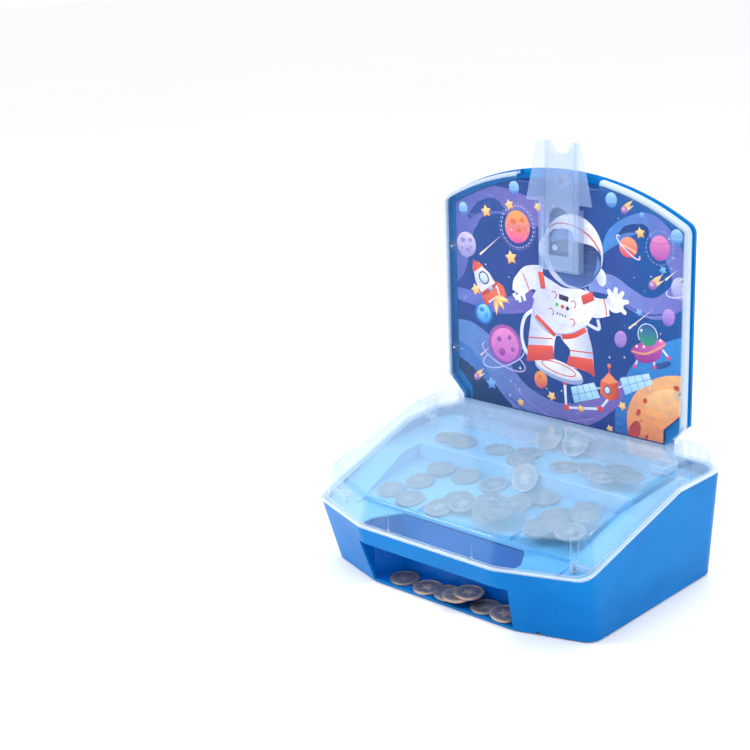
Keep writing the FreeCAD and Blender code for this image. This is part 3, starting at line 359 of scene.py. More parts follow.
@dataclass(frozen=True)
class MouldedPlastic:
    """Glossy injection-moulded plastic with flow marks, a fine skin and hairline scuffs.

    Attributes:
        name: Material name.
        base: Main display colour.
        deep: Display colour of thicker-looking patches.
        gloss: Roughness of the clean skin.
        scuffs: Strength of the hairline scuffs.
        shine: Strength of the plastic's reflections.
    """

    name: str
    base: str
    deep: str
    gloss: float = 0.16
    scuffs: float = 0.5
    shine: float = 0.16

    def material(self) -> bpy.types.Material:
        """Build the material.

        Returns:
            The finished material.
        """
        paint = Paint(self.name)
        flow = paint.noise(9.0, 2.0, 0.5, (1.0, 1.0, 2.2)).between(0.35, 0.68)
        colour = paint.mix(flow, ink(self.base), ink(self.deep))
        specks = paint.noise(900.0, 2.0).between(0.62, 0.8)
        colour = paint.mix(specks * 0.03, colour, CHALK)
        hair = paint.noise(150.0, 4.0, 0.7, (1.0, 0.05, 0.25)).between(0.60, 0.72)
        cross = paint.noise(130.0, 4.0, 0.7, (0.06, 1.0, 1.0)).between(0.62, 0.74)
        scuff = (hair + cross).clipped()
        colour = paint.mix(scuff * (0.06 * self.scuffs), colour, CHALK)
        rough = self.gloss + flow * 0.05 + scuff * (0.16 * self.scuffs) + specks * 0.04
        skin = paint.noise(420.0, 3.0, 0.6) * 0.6 + paint.noise(38.0, 1.0) * 0.4
        normal = paint.bump(skin - scuff * 0.2, 0.00005, 0.5)
        return paint.close(Base_Color=colour, Roughness=rough, Normal=normal, IOR=1.5,
                           Specular_IOR_Level=self.shine, Coat_Weight=0.06, Coat_Roughness=0.05)


@dataclass(frozen=True)
class ClearMoulding:
    """See-through moulding: a little haze face-on, more opaque plastic with a paler painted sheen where a
    wall is seen edgewise.

    Attributes:
        name: Material name.
        tint: Display colour of the body.
        edge: Display colour of walls seen edgewise, a painted sheen; also the colour of a painted rim
            highlight.
        haze: Opacity face-on.
        rim: Opacity edgewise.
        power: How tightly the edge colour hugs a silhouette.
        gloss: Roughness of the skin.
        edge_haze: Opacity that a thick edge adds.
    """

    name: str
    tint: str
    edge: str
    haze: float
    rim: float
    power: float = 2.0
    gloss: float = 0.06
    edge_haze: float = 0.5

    def thick_rim_highlight_mask(self, paint: Paint) -> Term | None:
        """Mask of the thick rim, which is more opaque and carries a painted highlight; a plain moulding has
        none.
        """
        return None

    def material(self) -> bpy.types.Material:
        """Build the material.

        Returns:
            The finished material.
        """
        paint = Paint(self.name)
        edge = paint.facing(0.5) ** self.power
        cloud = paint.noise(14.0, 3.0, 0.55).between(0.3, 0.75)
        hair = paint.noise(170.0, 4.0, 0.7, (1.0, 0.06, 0.3)).between(0.62, 0.74)
        # Towards a silhouette the colour turns paler, a painted sheen, and the opacity rises where the wall
        # is seen through its thickness.
        colour = paint.mix(edge, ink(self.tint), ink(self.edge))
        alpha = self.haze + edge * (self.rim - self.haze) + cloud * (0.4 * self.haze) + hair * 0.02
        # The rim mask makes the plastic more opaque and paints a highlight in the edge colour.
        rim_haze_and_highlight = self.thick_rim_highlight_mask(paint)
        if rim_haze_and_highlight is not None:
            alpha = alpha + rim_haze_and_highlight * self.edge_haze
            colour = paint.mix(rim_haze_and_highlight, colour, ink(self.edge))
        rough = self.gloss + cloud * 0.03 + hair * 0.18
        ripple = paint.noise(30.0, 2.0, 0.5) + paint.noise(260.0, 2.0, 0.5) * 0.12
        normal = paint.bump(ripple, 0.0002, 0.5)
        made = paint.close(Base_Color=colour, Roughness=rough, Alpha=alpha.clipped(), Normal=normal, IOR=1.58,
                           Specular_IOR_Level=0.9, Coat_Weight=0.6, Coat_Roughness=0.03)
        made.surface_render_method = "BLENDED"
        return made


@dataclass(frozen=True)
class WindowMoulding(ClearMoulding):
    """Clear window whose rolled rim all round the card is more opaque and carries a painted highlight.

    Attributes:
        RIM_START: Distance past the card where the rim's opacity and painted highlight start.
        RIM_FULL: Distance past the card where they are full.
        ARCH_START: Height where the arched rim's opacity and painted highlight start.
        ARCH_FULL: Height where they are full.
    """

    RIM_START: ClassVar[float] = 3.4 * MM
    RIM_FULL: ClassVar[float] = 5.0 * MM
    ARCH_START: ClassVar[float] = 200.0 * MM
    ARCH_FULL: ClassVar[float] = 240.0 * MM

    def thick_rim_highlight_mask(self, paint: Paint) -> Term:
        """Mask of the rim outside the card's sides and arch, where the plastic is more opaque and a highlight
        is painted.

        Args:
            paint: Material being built.

        Returns:
            1 on the rim and 0 elsewhere.
        """
        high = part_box("art_card")[1]
        axes = paint.node("ShaderNodeSeparateXYZ", {}, {"Vector": paint.place})
        across = paint.node("ShaderNodeMath", {"operation": "ABSOLUTE"}, {0: axes[0]})[0]
        hub = Vector((0.0, 0.0, high.z - ARCH_RADIUS))
        flat_place = paint.node("ShaderNodeCombineXYZ", {}, {"X": axes[0], "Y": 0.0, "Z": axes[2]})[0]
        reach = paint.node("ShaderNodeVectorMath", {"operation": "DISTANCE"}, {0: flat_place, 1: hub})[1]
        # The rim band is made more opaque and painted with a highlight.
        side = across.between(high.x + self.RIM_START, high.x + self.RIM_FULL)
        arch = reach.between(ARCH_RADIUS + self.RIM_START, ARCH_RADIUS + self.RIM_FULL)
        return (side + arch * axes[2].between(self.ARCH_START, self.ARCH_FULL)).clipped()


@dataclass(frozen=True)
class CoverMoulding(ClearMoulding):
    """Clear cover whose edge flange along the housing's rim is more opaque and carries a painted highlight.

    Attributes:
        LIP: Heights over the rim where the flange's more opaque, painted-highlight band starts to end and has
            ended.
        RIDGE: Heights over the rim between which the flange's top edge gets its full painted highlight and
            opacity.
        UNDERSIDE: Share of the opacity and painted highlight kept on the flange below that edge, so the
            underside reads as painted shade.
    """

    LIP: ClassVar[tuple[float, float]] = (1.6 * MM, 2.4 * MM)
    RIDGE: ClassVar[tuple[float, float]] = (0.7 * MM, 1.3 * MM)
    UNDERSIDE: ClassVar[float] = 0.45

    def thick_rim_highlight_mask(self, paint: Paint) -> Term:
        """Mask of a narrow band just above the rim, more opaque and painted with a highlight.

        Args:
            paint: Material being built.

        Returns:
            1 on the flange, less on its underside and 0 elsewhere.
        """
        axes = paint.node("ShaderNodeSeparateXYZ", {}, {"Vector": paint.place})
        rim = paint.node("ShaderNodeMapRange", {"interpolation_type": "LINEAR"},
                         {"Value": axes[1], 1: RIM_BEND_FRONT, 2: RIM_BEND_REAR, 3: RIM_LOW, 4: RIM_HIGH})[0]
        height = axes[2] - rim
        lip = 1 - height.between(*self.LIP)
        # The flange's top edge gets the full painted highlight, its underside a painted shade of it.
        ridge = height.between(*self.RIDGE) * (1 - self.UNDERSIDE) + self.UNDERSIDE
        return (lip * ridge).clipped()


@dataclass(frozen=True)
class StruckMetal:
    """Plated token metal: worn bright relief, dull hollows and small dents.

    Attributes:
        name: Material name.
        bright: Display colour of worn high spots.
        dull: Display colour of the fields.
        stain: Display colour of tarnish.
        gloss: Roughness of clean metal.
        metal: Metallic share.
    """

    name: str
    bright: str
    dull: str
    stain: str
    gloss: float = 0.28
    metal: float = 0.85

    def material(self) -> bpy.types.Material:
        """Build the material.

        Returns:
            The finished material.
        """
        paint = Paint(self.name)
        mark = paint.node("ShaderNodeAttribute", {"attribute_name": TINT})
        worn = paint.node("ShaderNodeSeparateColor", {}, {"Color": mark[0]})
        patches = paint.noise(120.0, 4.0, 0.6).between(0.35, 0.7)
        colour = paint.mix(worn[0], ink(self.dull), ink(self.bright))
        colour = paint.mix(patches * (0.75 - 0.5 * worn[0]), colour, ink(self.stain))
        scratches = paint.noise(900.0, 4.0, 0.7, (1.0, 0.08, 1.0)).between(0.55, 0.7)
        pits = paint.cells(700.0).between(0.0, 0.35)
        rough = self.gloss + patches * 0.14 + scratches * 0.1
        height = pits * 0.4 - scratches * 0.3 + paint.noise(500.0, 3.0) * 0.5
        return paint.close(Base_Color=colour, Metallic=self.metal, Roughness=rough,
                           Normal=paint.bump(height, 0.00005, 0.5))


@dataclass(frozen=True)
class MillMetal:
    """Plain bar or sheet metal with drawing lines and handling marks.

    Attributes:
        name: Material name.
        base: Display colour.
        gloss: Roughness.
        lines: Scale of each axis for the drawing lines.
    """

    name: str
    base: str
    gloss: float = 0.25
    lines: tuple[float, float, float] = (1.0, 1.0, 0.05)

    def material(self) -> bpy.types.Material:
        """Build the material.

        Returns:
            The finished material.
        """
        paint = Paint(self.name)
        drawn = paint.noise(900.0, 3.0, 0.6, self.lines).between(0.3, 0.7)
        patches = paint.noise(70.0, 3.0).between(0.4, 0.65)
        colour = paint.mix(drawn * 0.3 + patches * 0.25, ink(self.base), ink("6E7176"))
        rough = self.gloss + drawn * 0.12 + patches * 0.08
        return paint.close(Base_Color=colour, Metallic=0.95, Roughness=rough,
                           Normal=paint.bump(drawn, 0.00004, 0.6))


@dataclass(frozen=True)
class SoftPolymer:
    """Matt rubber or wire insulation with a moulded grain and pale dust.

    Attributes:
        name: Material name.
        base: Display colour.
        dust: Display colour of dust.
        gloss: Roughness.
    """

    name: str
    base: str
    dust: str
    gloss: float = 0.6

    def material(self) -> bpy.types.Material:
        """Build the material.

        Returns:
            The finished material.
        """
        paint = Paint(self.name)
        grain = paint.noise(1500.0, 2.0, 0.5)
        dusty = paint.noise(90.0, 4.0, 0.65).between(0.5, 0.75)
        colour = paint.mix(dusty * 0.3, ink(self.base), ink(self.dust))
        return paint.close(Base_Color=colour, Roughness=self.gloss + dusty * 0.2,
                           Normal=paint.bump(grain, 0.00006, 0.7))


@dataclass(frozen=True)
class CellSleeve:
    """Dry cell jacket: copper-coloured shoulder band over a dark printed sleeve.

    Attributes:
        name: Material name.
        sleeve: Display colour of the sleeve.
        band: Display colour of the band.
    """

    name: str = "cell_sleeve"
    sleeve: str = "24262B"
    band: str = "B87A3D"

    def material(self) -> bpy.types.Material:
        """Build the material.

        Returns:
            The finished material.
        """
        paint = Paint(self.name)
        low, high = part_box("batteries")
        along = paint.node("ShaderNodeSeparateXYZ", {}, {"Vector": paint.place})[0]
        share = (along - low.x) * (1.0 / (high.x - low.x))
        band = share.between(0.70, 0.71)
        print_lines = paint.noise(160.0, 2.0, 0.5, (0.2, 1.0, 1.0)).between(0.55, 0.6)
        sleeve = paint.mix(print_lines * 0.25, ink(self.sleeve), ink("8E939B"))
        colour = paint.mix(band, sleeve, ink(self.band))
        return paint.close(Base_Color=colour, Metallic=band * 0.7, Roughness=0.3 + print_lines * 0.1,
                           Normal=paint.bump(paint.noise(500.0), 0.00003, 0.5))


@dataclass(frozen=True)
class PrintedInk:
    """Offset print on coated card, with a fine screen and a slightly uneven varnish.

    Attributes:
        name: Material name.
        varnish: Roughness of the varnish.
        mottle: Strength of the brushed shading inside the printed shapes.
    """

    name: str = "printed_motifs"
    varnish: float = 0.38
    mottle: float = 0.42

    def material(self) -> bpy.types.Material:
        """Build the material.

        Returns:
            The finished material.
        """
        paint = Paint(self.name)
        tint = paint.node("ShaderNodeAttribute", {"attribute_name": TINT})[0]
        wash = paint.noise(95.0, 4.0, 0.6, (1.0, 1.0, 1.5)).between(0.35, 0.75)
        colour = paint.mix(wash * self.mottle, tint, paint.mix(0.5, tint, ink("1F3E96")))
        streak = paint.noise(260.0, 3.0, 0.6, (0.4, 1.0, 1.4)).between(0.58, 0.72)
        colour = paint.mix(streak * 0.08, colour, ink("FFFFFF"))
        rough = self.varnish + wash * 0.08
        return paint.close(Base_Color=colour, Roughness=rough, Specular_IOR_Level=0.15,
                           Normal=paint.bump(paint.noise(700.0), 0.00002, 0.4))


@dataclass(frozen=True)
class NightSkyPrint:
    """Printed backdrop: navy sky with blue glows, violet haze and a scatter of faint stars.

    Attributes:
        name: Material name.
        navy: Display colour of the open sky.
        deep: Display colour of the darkest patches.
        glow: Display colour of the brighter sky.
        violet: Display colour of the haze.
    """

    name: str = "night_sky_print"
    navy: str = "0B3B86"
    deep: str = "07305F"
    glow: str = "0560A8"
    violet: str = "2F3790"

    def material(self) -> bpy.types.Material:
        """Build the material.

        Returns:
            The finished material.
        """
        paint = Paint(self.name)
        low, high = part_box("art_card")
        axes = paint.node("ShaderNodeSeparateXYZ", {}, {"Vector": paint.place})
        across = (axes[0] - low.x) * (1.0 / (high.x - low.x))
        up = (axes[2] - low.z) * (1.0 / (high.z - low.z))
        wash = paint.noise(11.0, 3.0, 0.5, (1.0, 1.0, 1.4))
        right_glow = (across * 0.8 + up * 0.45 + wash * 0.5).between(1.0, 1.6)
        low_left = (1.35 - across - up * 1.3 + wash * 0.4).between(0.9, 1.5)
        mid = paint.noise(16.0, 2.0, 0.45).between(0.48, 0.72)
        colour = paint.mix(mid * 0.6, ink(self.navy), ink(self.violet))
        colour = paint.mix(right_glow, colour, ink(self.glow))
        colour = paint.mix(low_left, colour, ink(self.deep))
        dots = paint.cells(140.0).between(0.14, 0.05)
        dots = dots * paint.noise(60.0, 1.0).between(0.52, 0.6)
        colour = paint.mix(dots * 0.85, colour, ink("E9F0FF"))
        fibre = paint.noise(800.0, 3.0)
        return paint.close(Base_Color=colour, Roughness=0.4 + wash * 0.1, Specular_IOR_Level=0.15,
                           Normal=paint.bump(fibre, 0.00003, 0.4))


FINISHES: dict[Slot, Any] = {
    Slot.BLUE: MouldedPlastic("blue_shell", "0076C0", "006AB4", 0.18, 0.15, 0.05),
    Slot.DARK_BLUE: MouldedPlastic("navy_base", "0A55A8", "084A96", 0.3, 0.8),
    # The bin is the housing's blue, darkened as painted shade for its place deep inside the case.
    Slot.BIN: MouldedPlastic("bin_blue_painted_shade", "0062BC", "0053AC", 0.2, 0.4),
    Slot.TRAY: MouldedPlastic("sky_blue_tray", "62B4EA", "50A6E2", 0.18, 0.3, 0.3),
    Slot.WHITE: MouldedPlastic("acetal_white", "E8EAE6", "D9DCD8", 0.35, 0.3),
    Slot.GREY: MouldedPlastic("gearbox_grey", "8F969E", "7E858D", 0.4, 0.5),
    Slot.BLACK: MouldedPlastic("switch_black", "191B1F", "101114", 0.3, 0.5),
    # The cover's pale edge colour is a painted sheen at silhouettes and a painted highlight on the flange.
    Slot.CLEAR: CoverMoulding("clear_styrene", "98CFF4", "F0F9FF", 0.026, 0.85, 1.9, edge_haze=0.42),
    # The chute's and the scraper's pale edge colours are a painted sheen at silhouettes.
    Slot.CHUTE: ClearMoulding("frosted_chute", "A6C6F6", "E4F0FF", 0.15, 0.85, 1.8),
    Slot.SCRAPER: ClearMoulding("frosted_scraper", "7FA9D6", "B9D6F2", 0.34, 0.8),
    Slot.CARD: NightSkyPrint(),
    Slot.NICKEL: StruckMetal("token_nickel", "8F9CAC", "66768A", "566579", 0.44, 0.35),
    Slot.BRONZE: StruckMetal("token_bronze", "C2AA95", "777A80", "5B6069", 0.32, 0.7),
    Slot.STEEL: MillMetal("plated_steel", "B9BDC2"),
    Slot.MOTOR: MillMetal("motor_can_steel", "A7ABB0", 0.3, (1.0, 0.05, 1.0)),
    Slot.BRASS: MillMetal("brass_bar", "C9A24E", 0.22),
    Slot.CELL: CellSleeve(),
    Slot.RUBBER: SoftPolymer("foot_rubber", "26292E", "6C7178", 0.7),
    Slot.RED_LEAD: SoftPolymer("lead_red", "B3151B", "C98A86", 0.4),
    Slot.BLACK_LEAD: SoftPolymer("lead_black", "15161A", "5C5F66", 0.4),
}

CLEARER: dict[str, Any] = {
    # The window's pale edge colour is a painted sheen at silhouettes and a painted highlight on the rim.
    "front_window": WindowMoulding("window_styrene", "B4DAF5", "E6F5FF", 0.006, 0.85, 2.8, 0.04, 0.34),
}


def put(bm: bmesh.types.BMesh, name: str, body: Body, material: bpy.types.Material,
        smooth: bool = False) -> bpy.types.Object:
    """Turn a finished bmesh into a piece of the object.

    Args:
        bm: Mesh in metres, in place.
        name: Piece name.
        body: Body it moves with.
        material: Its material.
        smooth: Shade faces smoothly up to the sharp angle.

    Returns:
        The new object.
    """
    mesh = bpy.data.meshes.new(name)
    bm.to_mesh(mesh)
    bm.free()
    piece = bpy.data.objects.new(name, mesh)
    bpy.context.scene.collection.objects.link(piece)
    mesh.materials.append(material)
    if smooth:
        mesh.shade_smooth()
        mesh.set_sharp_from_angle(angle=SHARP_ANGLE)
    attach(piece, body.value)
    log.info("%s: %d faces on %s", name, len(mesh.polygons), body.value)
    return piece


def islands(node: bpy.types.Object) -> list[np.ndarray]:
    """Split a merged copy of a node's mesh into its separate solids.

    Args:
        node: A CAD node.

    Returns:
        One array of corner positions for each solid.
    """
    bm = bmesh.new()
    bm.from_mesh(node.data)
    bmesh.ops.remove_doubles(bm, verts=bm.verts, dist=WELD)
    bm.verts.ensure_lookup_table()
    left = set(bm.verts)
    found = []
    while left:
        seed = min(left, key=lambda v: v.index)
        left.discard(seed)
        group = [seed]
        queue = [seed]
        while queue:
            for edge in queue.pop().link_edges:
                for vert in edge.verts:
                    if vert in left:
                        left.discard(vert)
                        group.append(vert)
                        queue.append(vert)
        found.append(np.array([v.co[:] for v in sorted(group, key=lambda v: v.index)]))
    bm.free()
    return found


@dataclass
class Token:
    """One struck token: milled rim, sunken faces, a ring of beads and a five-pointed star on both faces.

    Attributes:
        radius: Radius of the blank.
        thick: Thickness over the rim.
        rim: Width of the rim.
        sink: Depth of the faces below the rim.
        segments: Sides of the round blank.
        beads: Number of beads.
        bead_ring: Radius of the ring of beads.
        star: Outer radius of the star.
        waist: Inner radius of the star, as a share of the outer one.
        relief: Height of the star and the beads over the face.
        chamfer: Width of the rounded edge.
    """

    radius: float = 12.0 * MM
    thick: float = 2.0 * MM
    rim: float = 1.25 * MM
    sink: float = 0.25 * MM
    segments: int = 56
    beads: int = 36
    bead_ring: float = 9.6 * MM
    star: float = 7.2 * MM
    waist: float = 0.46
    relief: float = 0.17 * MM
    chamfer: float = 0.3 * MM

    def _disc(self) -> bmesh.types.BMesh:
        """Round blank with a bevelled rim and sunken faces, centred on the origin.

        Returns:
            The blank, with a tint on each corner.
        """
        bm = bmesh.new()
        tint = bm.verts.layers.float_color.new(TINT)
        made = bmesh.ops.create_circle(bm, cap_ends=True, segments=self.segments, radius=self.radius)
        bmesh.ops.translate(bm, verts=made["verts"], vec=(0, 0, -self.thick / 2))
        lifted = bmesh.ops.extrude_face_region(bm, geom=bm.faces[:])
        top = [g for g in lifted["geom"] if isinstance(g, bmesh.types.BMVert)]
        bmesh.ops.translate(bm, verts=top, vec=(0, 0, self.thick))
        bmesh.ops.recalc_face_normals(bm, faces=bm.faces)
        edges = [e for e in bm.edges if abs(e.verts[0].co.z - e.verts[1].co.z) < LEVEL]
        bmesh.ops.bevel(bm, geom=edges, offset=self.chamfer, segments=3, profile=0.5, affect="EDGES",
                        material=-1)
        caps = [f for f in bm.faces if len(f.verts) > 8]
        for vert in bm.verts:
            vert[tint] = (0.85, 0, 0, 1)
        bmesh.ops.inset_region(bm, faces=caps, thickness=self.rim - self.chamfer, use_even_offset=True)
        bmesh.ops.inset_region(bm, faces=caps, thickness=0.15 * MM, depth=-self.sink, use_even_offset=True)
        for face in caps:
            for vert in face.verts:
                vert[tint] = (0.1, 0, 0, 1)
        bmesh.ops.poke(bm, faces=caps)
        for vert in bm.verts:
            if vert.co.xy.length < LEVEL:
                vert[tint] = (0.2, 0, 0, 1)
        return bm

    def _raised(self, bm: bmesh.types.BMesh, verts: list[bmesh.types.BMVert], taper: float) -> None:
        """Lift a flat outline off the sunken face with sloping sides.

        Args:
            bm: Mesh being built.
            verts: Corners of the flat outline.
            taper: Size of the top against the foot.
        """
        tint = bm.verts.layers.float_color[TINT]
        faces = list({f for v in verts for f in v.link_faces})
        middle = sum((v.co for v in verts), Vector()) / len(verts)
        made = bmesh.ops.extrude_face_region(bm, geom=faces)
        top = [g for g in made["geom"] if isinstance(g, bmesh.types.BMVert)]
        bmesh.ops.scale(bm, vec=(taper, taper, 1), space=Matrix.Translation(-middle), verts=top)
        bmesh.ops.translate(bm, verts=top, vec=(0, 0, self.relief))
        for vert in verts:
            vert[tint] = (0.25, 0, 0, 1)
        for vert in top:
            vert[tint] = (1.0, 0, 0, 1)

    def _relief(self) -> bmesh.types.BMesh:
        """Star and beads that stand on one face.

        Returns:
            The relief, with a tint on each corner.
        """
        bm = bmesh.new()
        bm.verts.layers.float_color.new(TINT)
        made = bmesh.ops.create_circle(bm, cap_tris=True, cap_ends=True, segments=10, radius=self.star)
        ring = [v for v in made["verts"] if v.co.length > LEVEL]
        bmesh.ops.scale(bm, vec=(self.waist, self.waist, 1), verts=ring[::2])
        self._raised(bm, made["verts"], 0.8)
        for i in range(self.beads):
            turn = Matrix.Rotation(math.tau * i / self.beads, 4, "Z")
            place = turn @ Matrix.Translation((self.bead_ring, 0, 0))
            dot = bmesh.ops.create_circle(bm, cap_ends=True, segments=6, radius=0.5 * MM, matrix=place)
            self._raised(bm, dot["verts"], 0.55)
        bmesh.ops.translate(bm, verts=bm.verts, vec=(0, 0, self.thick / 2 - self.sink - 0.02 * MM))
        bmesh.ops.recalc_face_normals(bm, faces=bm.faces)
        return bm

    def mesh(self) -> bpy.types.Mesh:
        """Whole token lying flat, centred on the origin.

        Returns:
            The mesh, with the wear of each corner in its tint.
        """
        bm = self._disc()
        face = self._relief()
        half = bpy.data.meshes.new("token_face")
        face.to_mesh(half)
        face.free()
        bm.from_mesh(half)
        half.transform(Matrix.Rotation(math.pi, 4, "X"))
        bm.from_mesh(half)
        bpy.data.meshes.remove(half)
        whole = bpy.data.meshes.new("token")
        bm.to_mesh(whole)
        bm.free()
        return whole


@dataclass
class TokenHeap:
    """Struck tokens that stand where the part's plain ones lie.

    Attributes:
        node: CAD node that they replace.
        name: Piece name.
        body: Body that they ride on.
        slot: Material slot.
        seed: Seed of each token's turn and wear.
        WORN: Shine of the relief on a much handled token.
        WORN_SHARE: Share of the tokens that are much handled.
        USUAL: Least and most shine of the others.
    """

    node: str
    name: str
    body: Body
    slot: Slot
    seed: int
    WORN: ClassVar[float] = 1.0
    WORN_SHARE: ClassVar[float] = 0.2
    USUAL: ClassVar[tuple[float, float]] = (0.3, 0.55)

    @staticmethod
    def _seat(corners: np.ndarray, turn: float) -> Matrix:
        """Find where a plain token lies.

        Args:
            corners: Its corner positions.
            turn: Turn about its own axis, in radians.

        Returns:
            The placement of a token modelled at the origin.
        """
        spread = corners - corners.mean(0)
        axes = np.linalg.svd(spread, full_matrices=False)[2]
        along = spread @ axes.T
        centre = corners.mean(0) + ((along.max(0) + along.min(0)) / 2) @ axes
        normal = Vector(axes[2])
        if normal.z < 0:
            normal.negate()
        upright = Vector((0, 0, 1)).rotation_difference(normal).to_matrix().to_4x4()
        return Matrix.Translation(centre) @ upright @ Matrix.Rotation(turn, 4, "Z")

    def build(self, token: bpy.types.Mesh, material: bpy.types.Material) -> bpy.types.Object:
        """Lay a token at each place.

        Args:
            token: Token mesh at the origin.
            material: Metal of the tokens.

        Returns:
            The new piece.
        """
        chance = random.Random(self.seed)
        bm = bmesh.new()
        tint = bm.verts.layers.float_color.new(TINT)
        for corners in islands(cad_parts[self.node]):
            before = len(bm.verts)
            bm.from_mesh(token)
            bm.verts.ensure_lookup_table()
            added = bm.verts[before:]
            bmesh.ops.transform(bm, matrix=self._seat(corners, chance.uniform(0, math.tau)), verts=added)
            wear = self.WORN if chance.random() < self.WORN_SHARE else chance.uniform(*self.USUAL)
            for vert in added:
                vert[tint] = (vert[tint][0] * wear, 0, 0, 1)
        piece = put(bm, self.name, self.body, material, smooth=True)
        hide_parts(self.node)
        return piece


class Layer(int, Enum):
    """Order of the printed inks, from the card outwards."""

    SWIRL = 0
    GLOW = 1
    FAR = 2
    BODY = 3
    DETAIL = 4
    TRIM = 5
    TOP = 6
    GLINT = 7


Shade = Callable[[float, float], Colour]


def flat(code: str) -> Shade:
    """One colour all over.

    Args:
        code: Display colour.

    Returns:
        The shade.
    """
    return lambda u, w: ink(code)


def fade(low: str, high: str) -> Shade:
    """Colour that changes from the foot of a shape to its top.

    Args:
        low: Display colour at the foot.
        high: Display colour at the top.

    Returns:
        The shade.
    """
    return lambda u, w: blend_ink(ink(low), ink(high), (w + 1) / 2)


def sweep(left: str, right: str) -> Shade:
    """Colour that changes from left to right.

    Args:
        left: Display colour on the left.
        right: Display colour on the right.

    Returns:
        The shade.
    """
    return lambda u, w: blend_ink(ink(left), ink(right), (u + 1) / 2)


@dataclass
class InkSheet:
    """One printed piece: thin closed ink shapes laid on the front of the card.

    Places are in millimetres across and up; shades are given places from -1 to 1 over each shape.

    Attributes:
        name: Piece name.
        step: Distance between two inks.
        film: Thickness of one ink.
        stagger: Distance between two shapes of one ink, so that none share a plane.
        margin: Bare edge of the card.
        tongue: Half width of the card's foot.
        shoulder: Height where the foot ends and the sloping shoulders start.
        count: Shapes printed so far.
        bm: Mesh of the shapes printed so far.
        PLACES: Steps of the stagger before it starts over.
        ARCH_STEP: Degrees between two of the straight cuts that trim ink along the arch.
        ARCH_CUTS: Number of those cuts on each side of the top.
    """

    name: str
    step: float = 0.02 * MM
    film: float = 0.015 * MM
    stagger: float = 0.001 * MM
    margin: float = 0.6 * MM
    tongue: float = 95.8 * MM
    shoulder: float = 115.8 * MM
    count: int = 0
    bm: bmesh.types.BMesh = field(default_factory=bmesh.new)
    PLACES: ClassVar[int] = 16
    ARCH_STEP: ClassVar[float] = 3.0
    ARCH_CUTS: ClassVar[int] = 10

    def __post_init__(self) -> None:
        """Read where the card is."""
        self.low, self.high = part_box("art_card")
        self.bm.verts.layers.float_color.new(TINT)

    def _add(self, shape: bmesh.types.BMesh, layer: Layer, shade: Shade) -> None:
        """Trim a flat shape to the card, colour it, give it its thickness and keep it.

        Args:
            shape: Flat shape in the card's plane, in millimetres across x and z.
            layer: Its place in the order of inks.
            shade: Its colours.
        """
        tint = shape.verts.layers.float_color.new(TINT)
        spans = [(min(v.co[a] for v in shape.verts), max(v.co[a] for v in shape.verts)) for a in (0, 2)]
        for vert in shape.verts:
            u, w = [2 * (vert.co[a] - s[0]) / max(s[1] - s[0], 1e-6) - 1 for a, s in zip((0, 2), spans)]
            vert[tint] = shade(u, w)
        bmesh.ops.scale(shape, vec=(MM, MM, MM), verts=shape.verts)
        front = self.low.y - self.step * (layer.value + 1) - self.stagger * (self.count % self.PLACES)
        self.count += 1
        bmesh.ops.translate(shape, vec=(0, front, 0), verts=shape.verts)
        self._trim(shape)
        if not shape.faces:
            shape.free()
            return
        made = bmesh.ops.extrude_face_region(shape, geom=shape.faces[:])
        back = [g for g in made["geom"] if isinstance(g, bmesh.types.BMVert)]
        bmesh.ops.translate(shape, vec=(0, self.film, 0), verts=back)
        bmesh.ops.recalc_face_normals(shape, faces=shape.faces)
        mesh = bpy.data.meshes.new("ink")
        shape.to_mesh(mesh)
        shape.free()
        self.bm.from_mesh(mesh)
        bpy.data.meshes.remove(mesh)

    def _trim(self, shape: bmesh.types.BMesh) -> None:
        """Cut a flat shape to the card's outline: arch, sides, sloping shoulders and narrow foot.

        Args:
            shape: Flat shape in place, in metres.
        """
        side, foot = self.high.x - self.margin, self.low.z + self.margin
        tongue, shoulder = self.tongue - self.margin, self.shoulder + self.margin
        hub = Vector((0, 0, self.high.z - ARCH_RADIUS))
        cuts = [(Vector((side, 0, 0)), Vector((1, 0, 0))), (Vector((-side, 0, 0)), Vector((-1, 0, 0))),
                (Vector((0, 0, foot)), Vector((0, 0, -1)))]
        for step in range(-self.ARCH_CUTS, self.ARCH_CUTS + 1):
            angle = math.radians(self.ARCH_STEP * step)
            out = Vector((math.sin(angle), 0, math.cos(angle)))
            cuts.append((hub + out * (ARCH_RADIUS - self.margin), out))
        slopes = [(Vector((0, 0, shoulder)), Vector((0, 0, -1)))]
        for sign in (-1, 1):
            slopes.append((Vector((sign * tongue, 0, shoulder)), Vector((sign, 0, -1))))
            slopes.append((Vector((sign * tongue, 0, 0)), Vector((sign, 0, 0))))
        for place, out in cuts + slopes:
            whole = shape.verts[:] + shape.edges[:] + shape.faces[:]
            bmesh.ops.bisect_plane(shape, geom=whole, plane_co=place, plane_no=out,
                                   clear_outer=(place, out) in cuts)
        spare = []
        for face in shape.faces:
            middle = face.calc_center_median()
            past = abs(middle.x) - tongue
            if past > 0 and middle.z < shoulder + past:
                spare.append(face)
        bmesh.ops.delete(shape, geom=spare, context="FACES")

    @staticmethod
    def _place(x: float, z: float, turn: float = 0.0, wide: float = 1.0, tall: float = 1.0) -> Matrix:
        """Placement of a shape modelled flat at the origin.

        Args:
            x: Place across.
            z: Place up.
            turn: Turn in degrees, anticlockwise as seen from the front.
            wide: Scale across.
            tall: Scale up.

        Returns:
            The matrix that stands it up on the card.
        """
        upright = Matrix.Rotation(math.pi / 2, 4, "X") @ Matrix.Rotation(math.radians(turn), 4, "Z")
        return Matrix.Translation((x, 0, z)) @ upright @ Matrix.Diagonal((wide, tall, 1, 1))

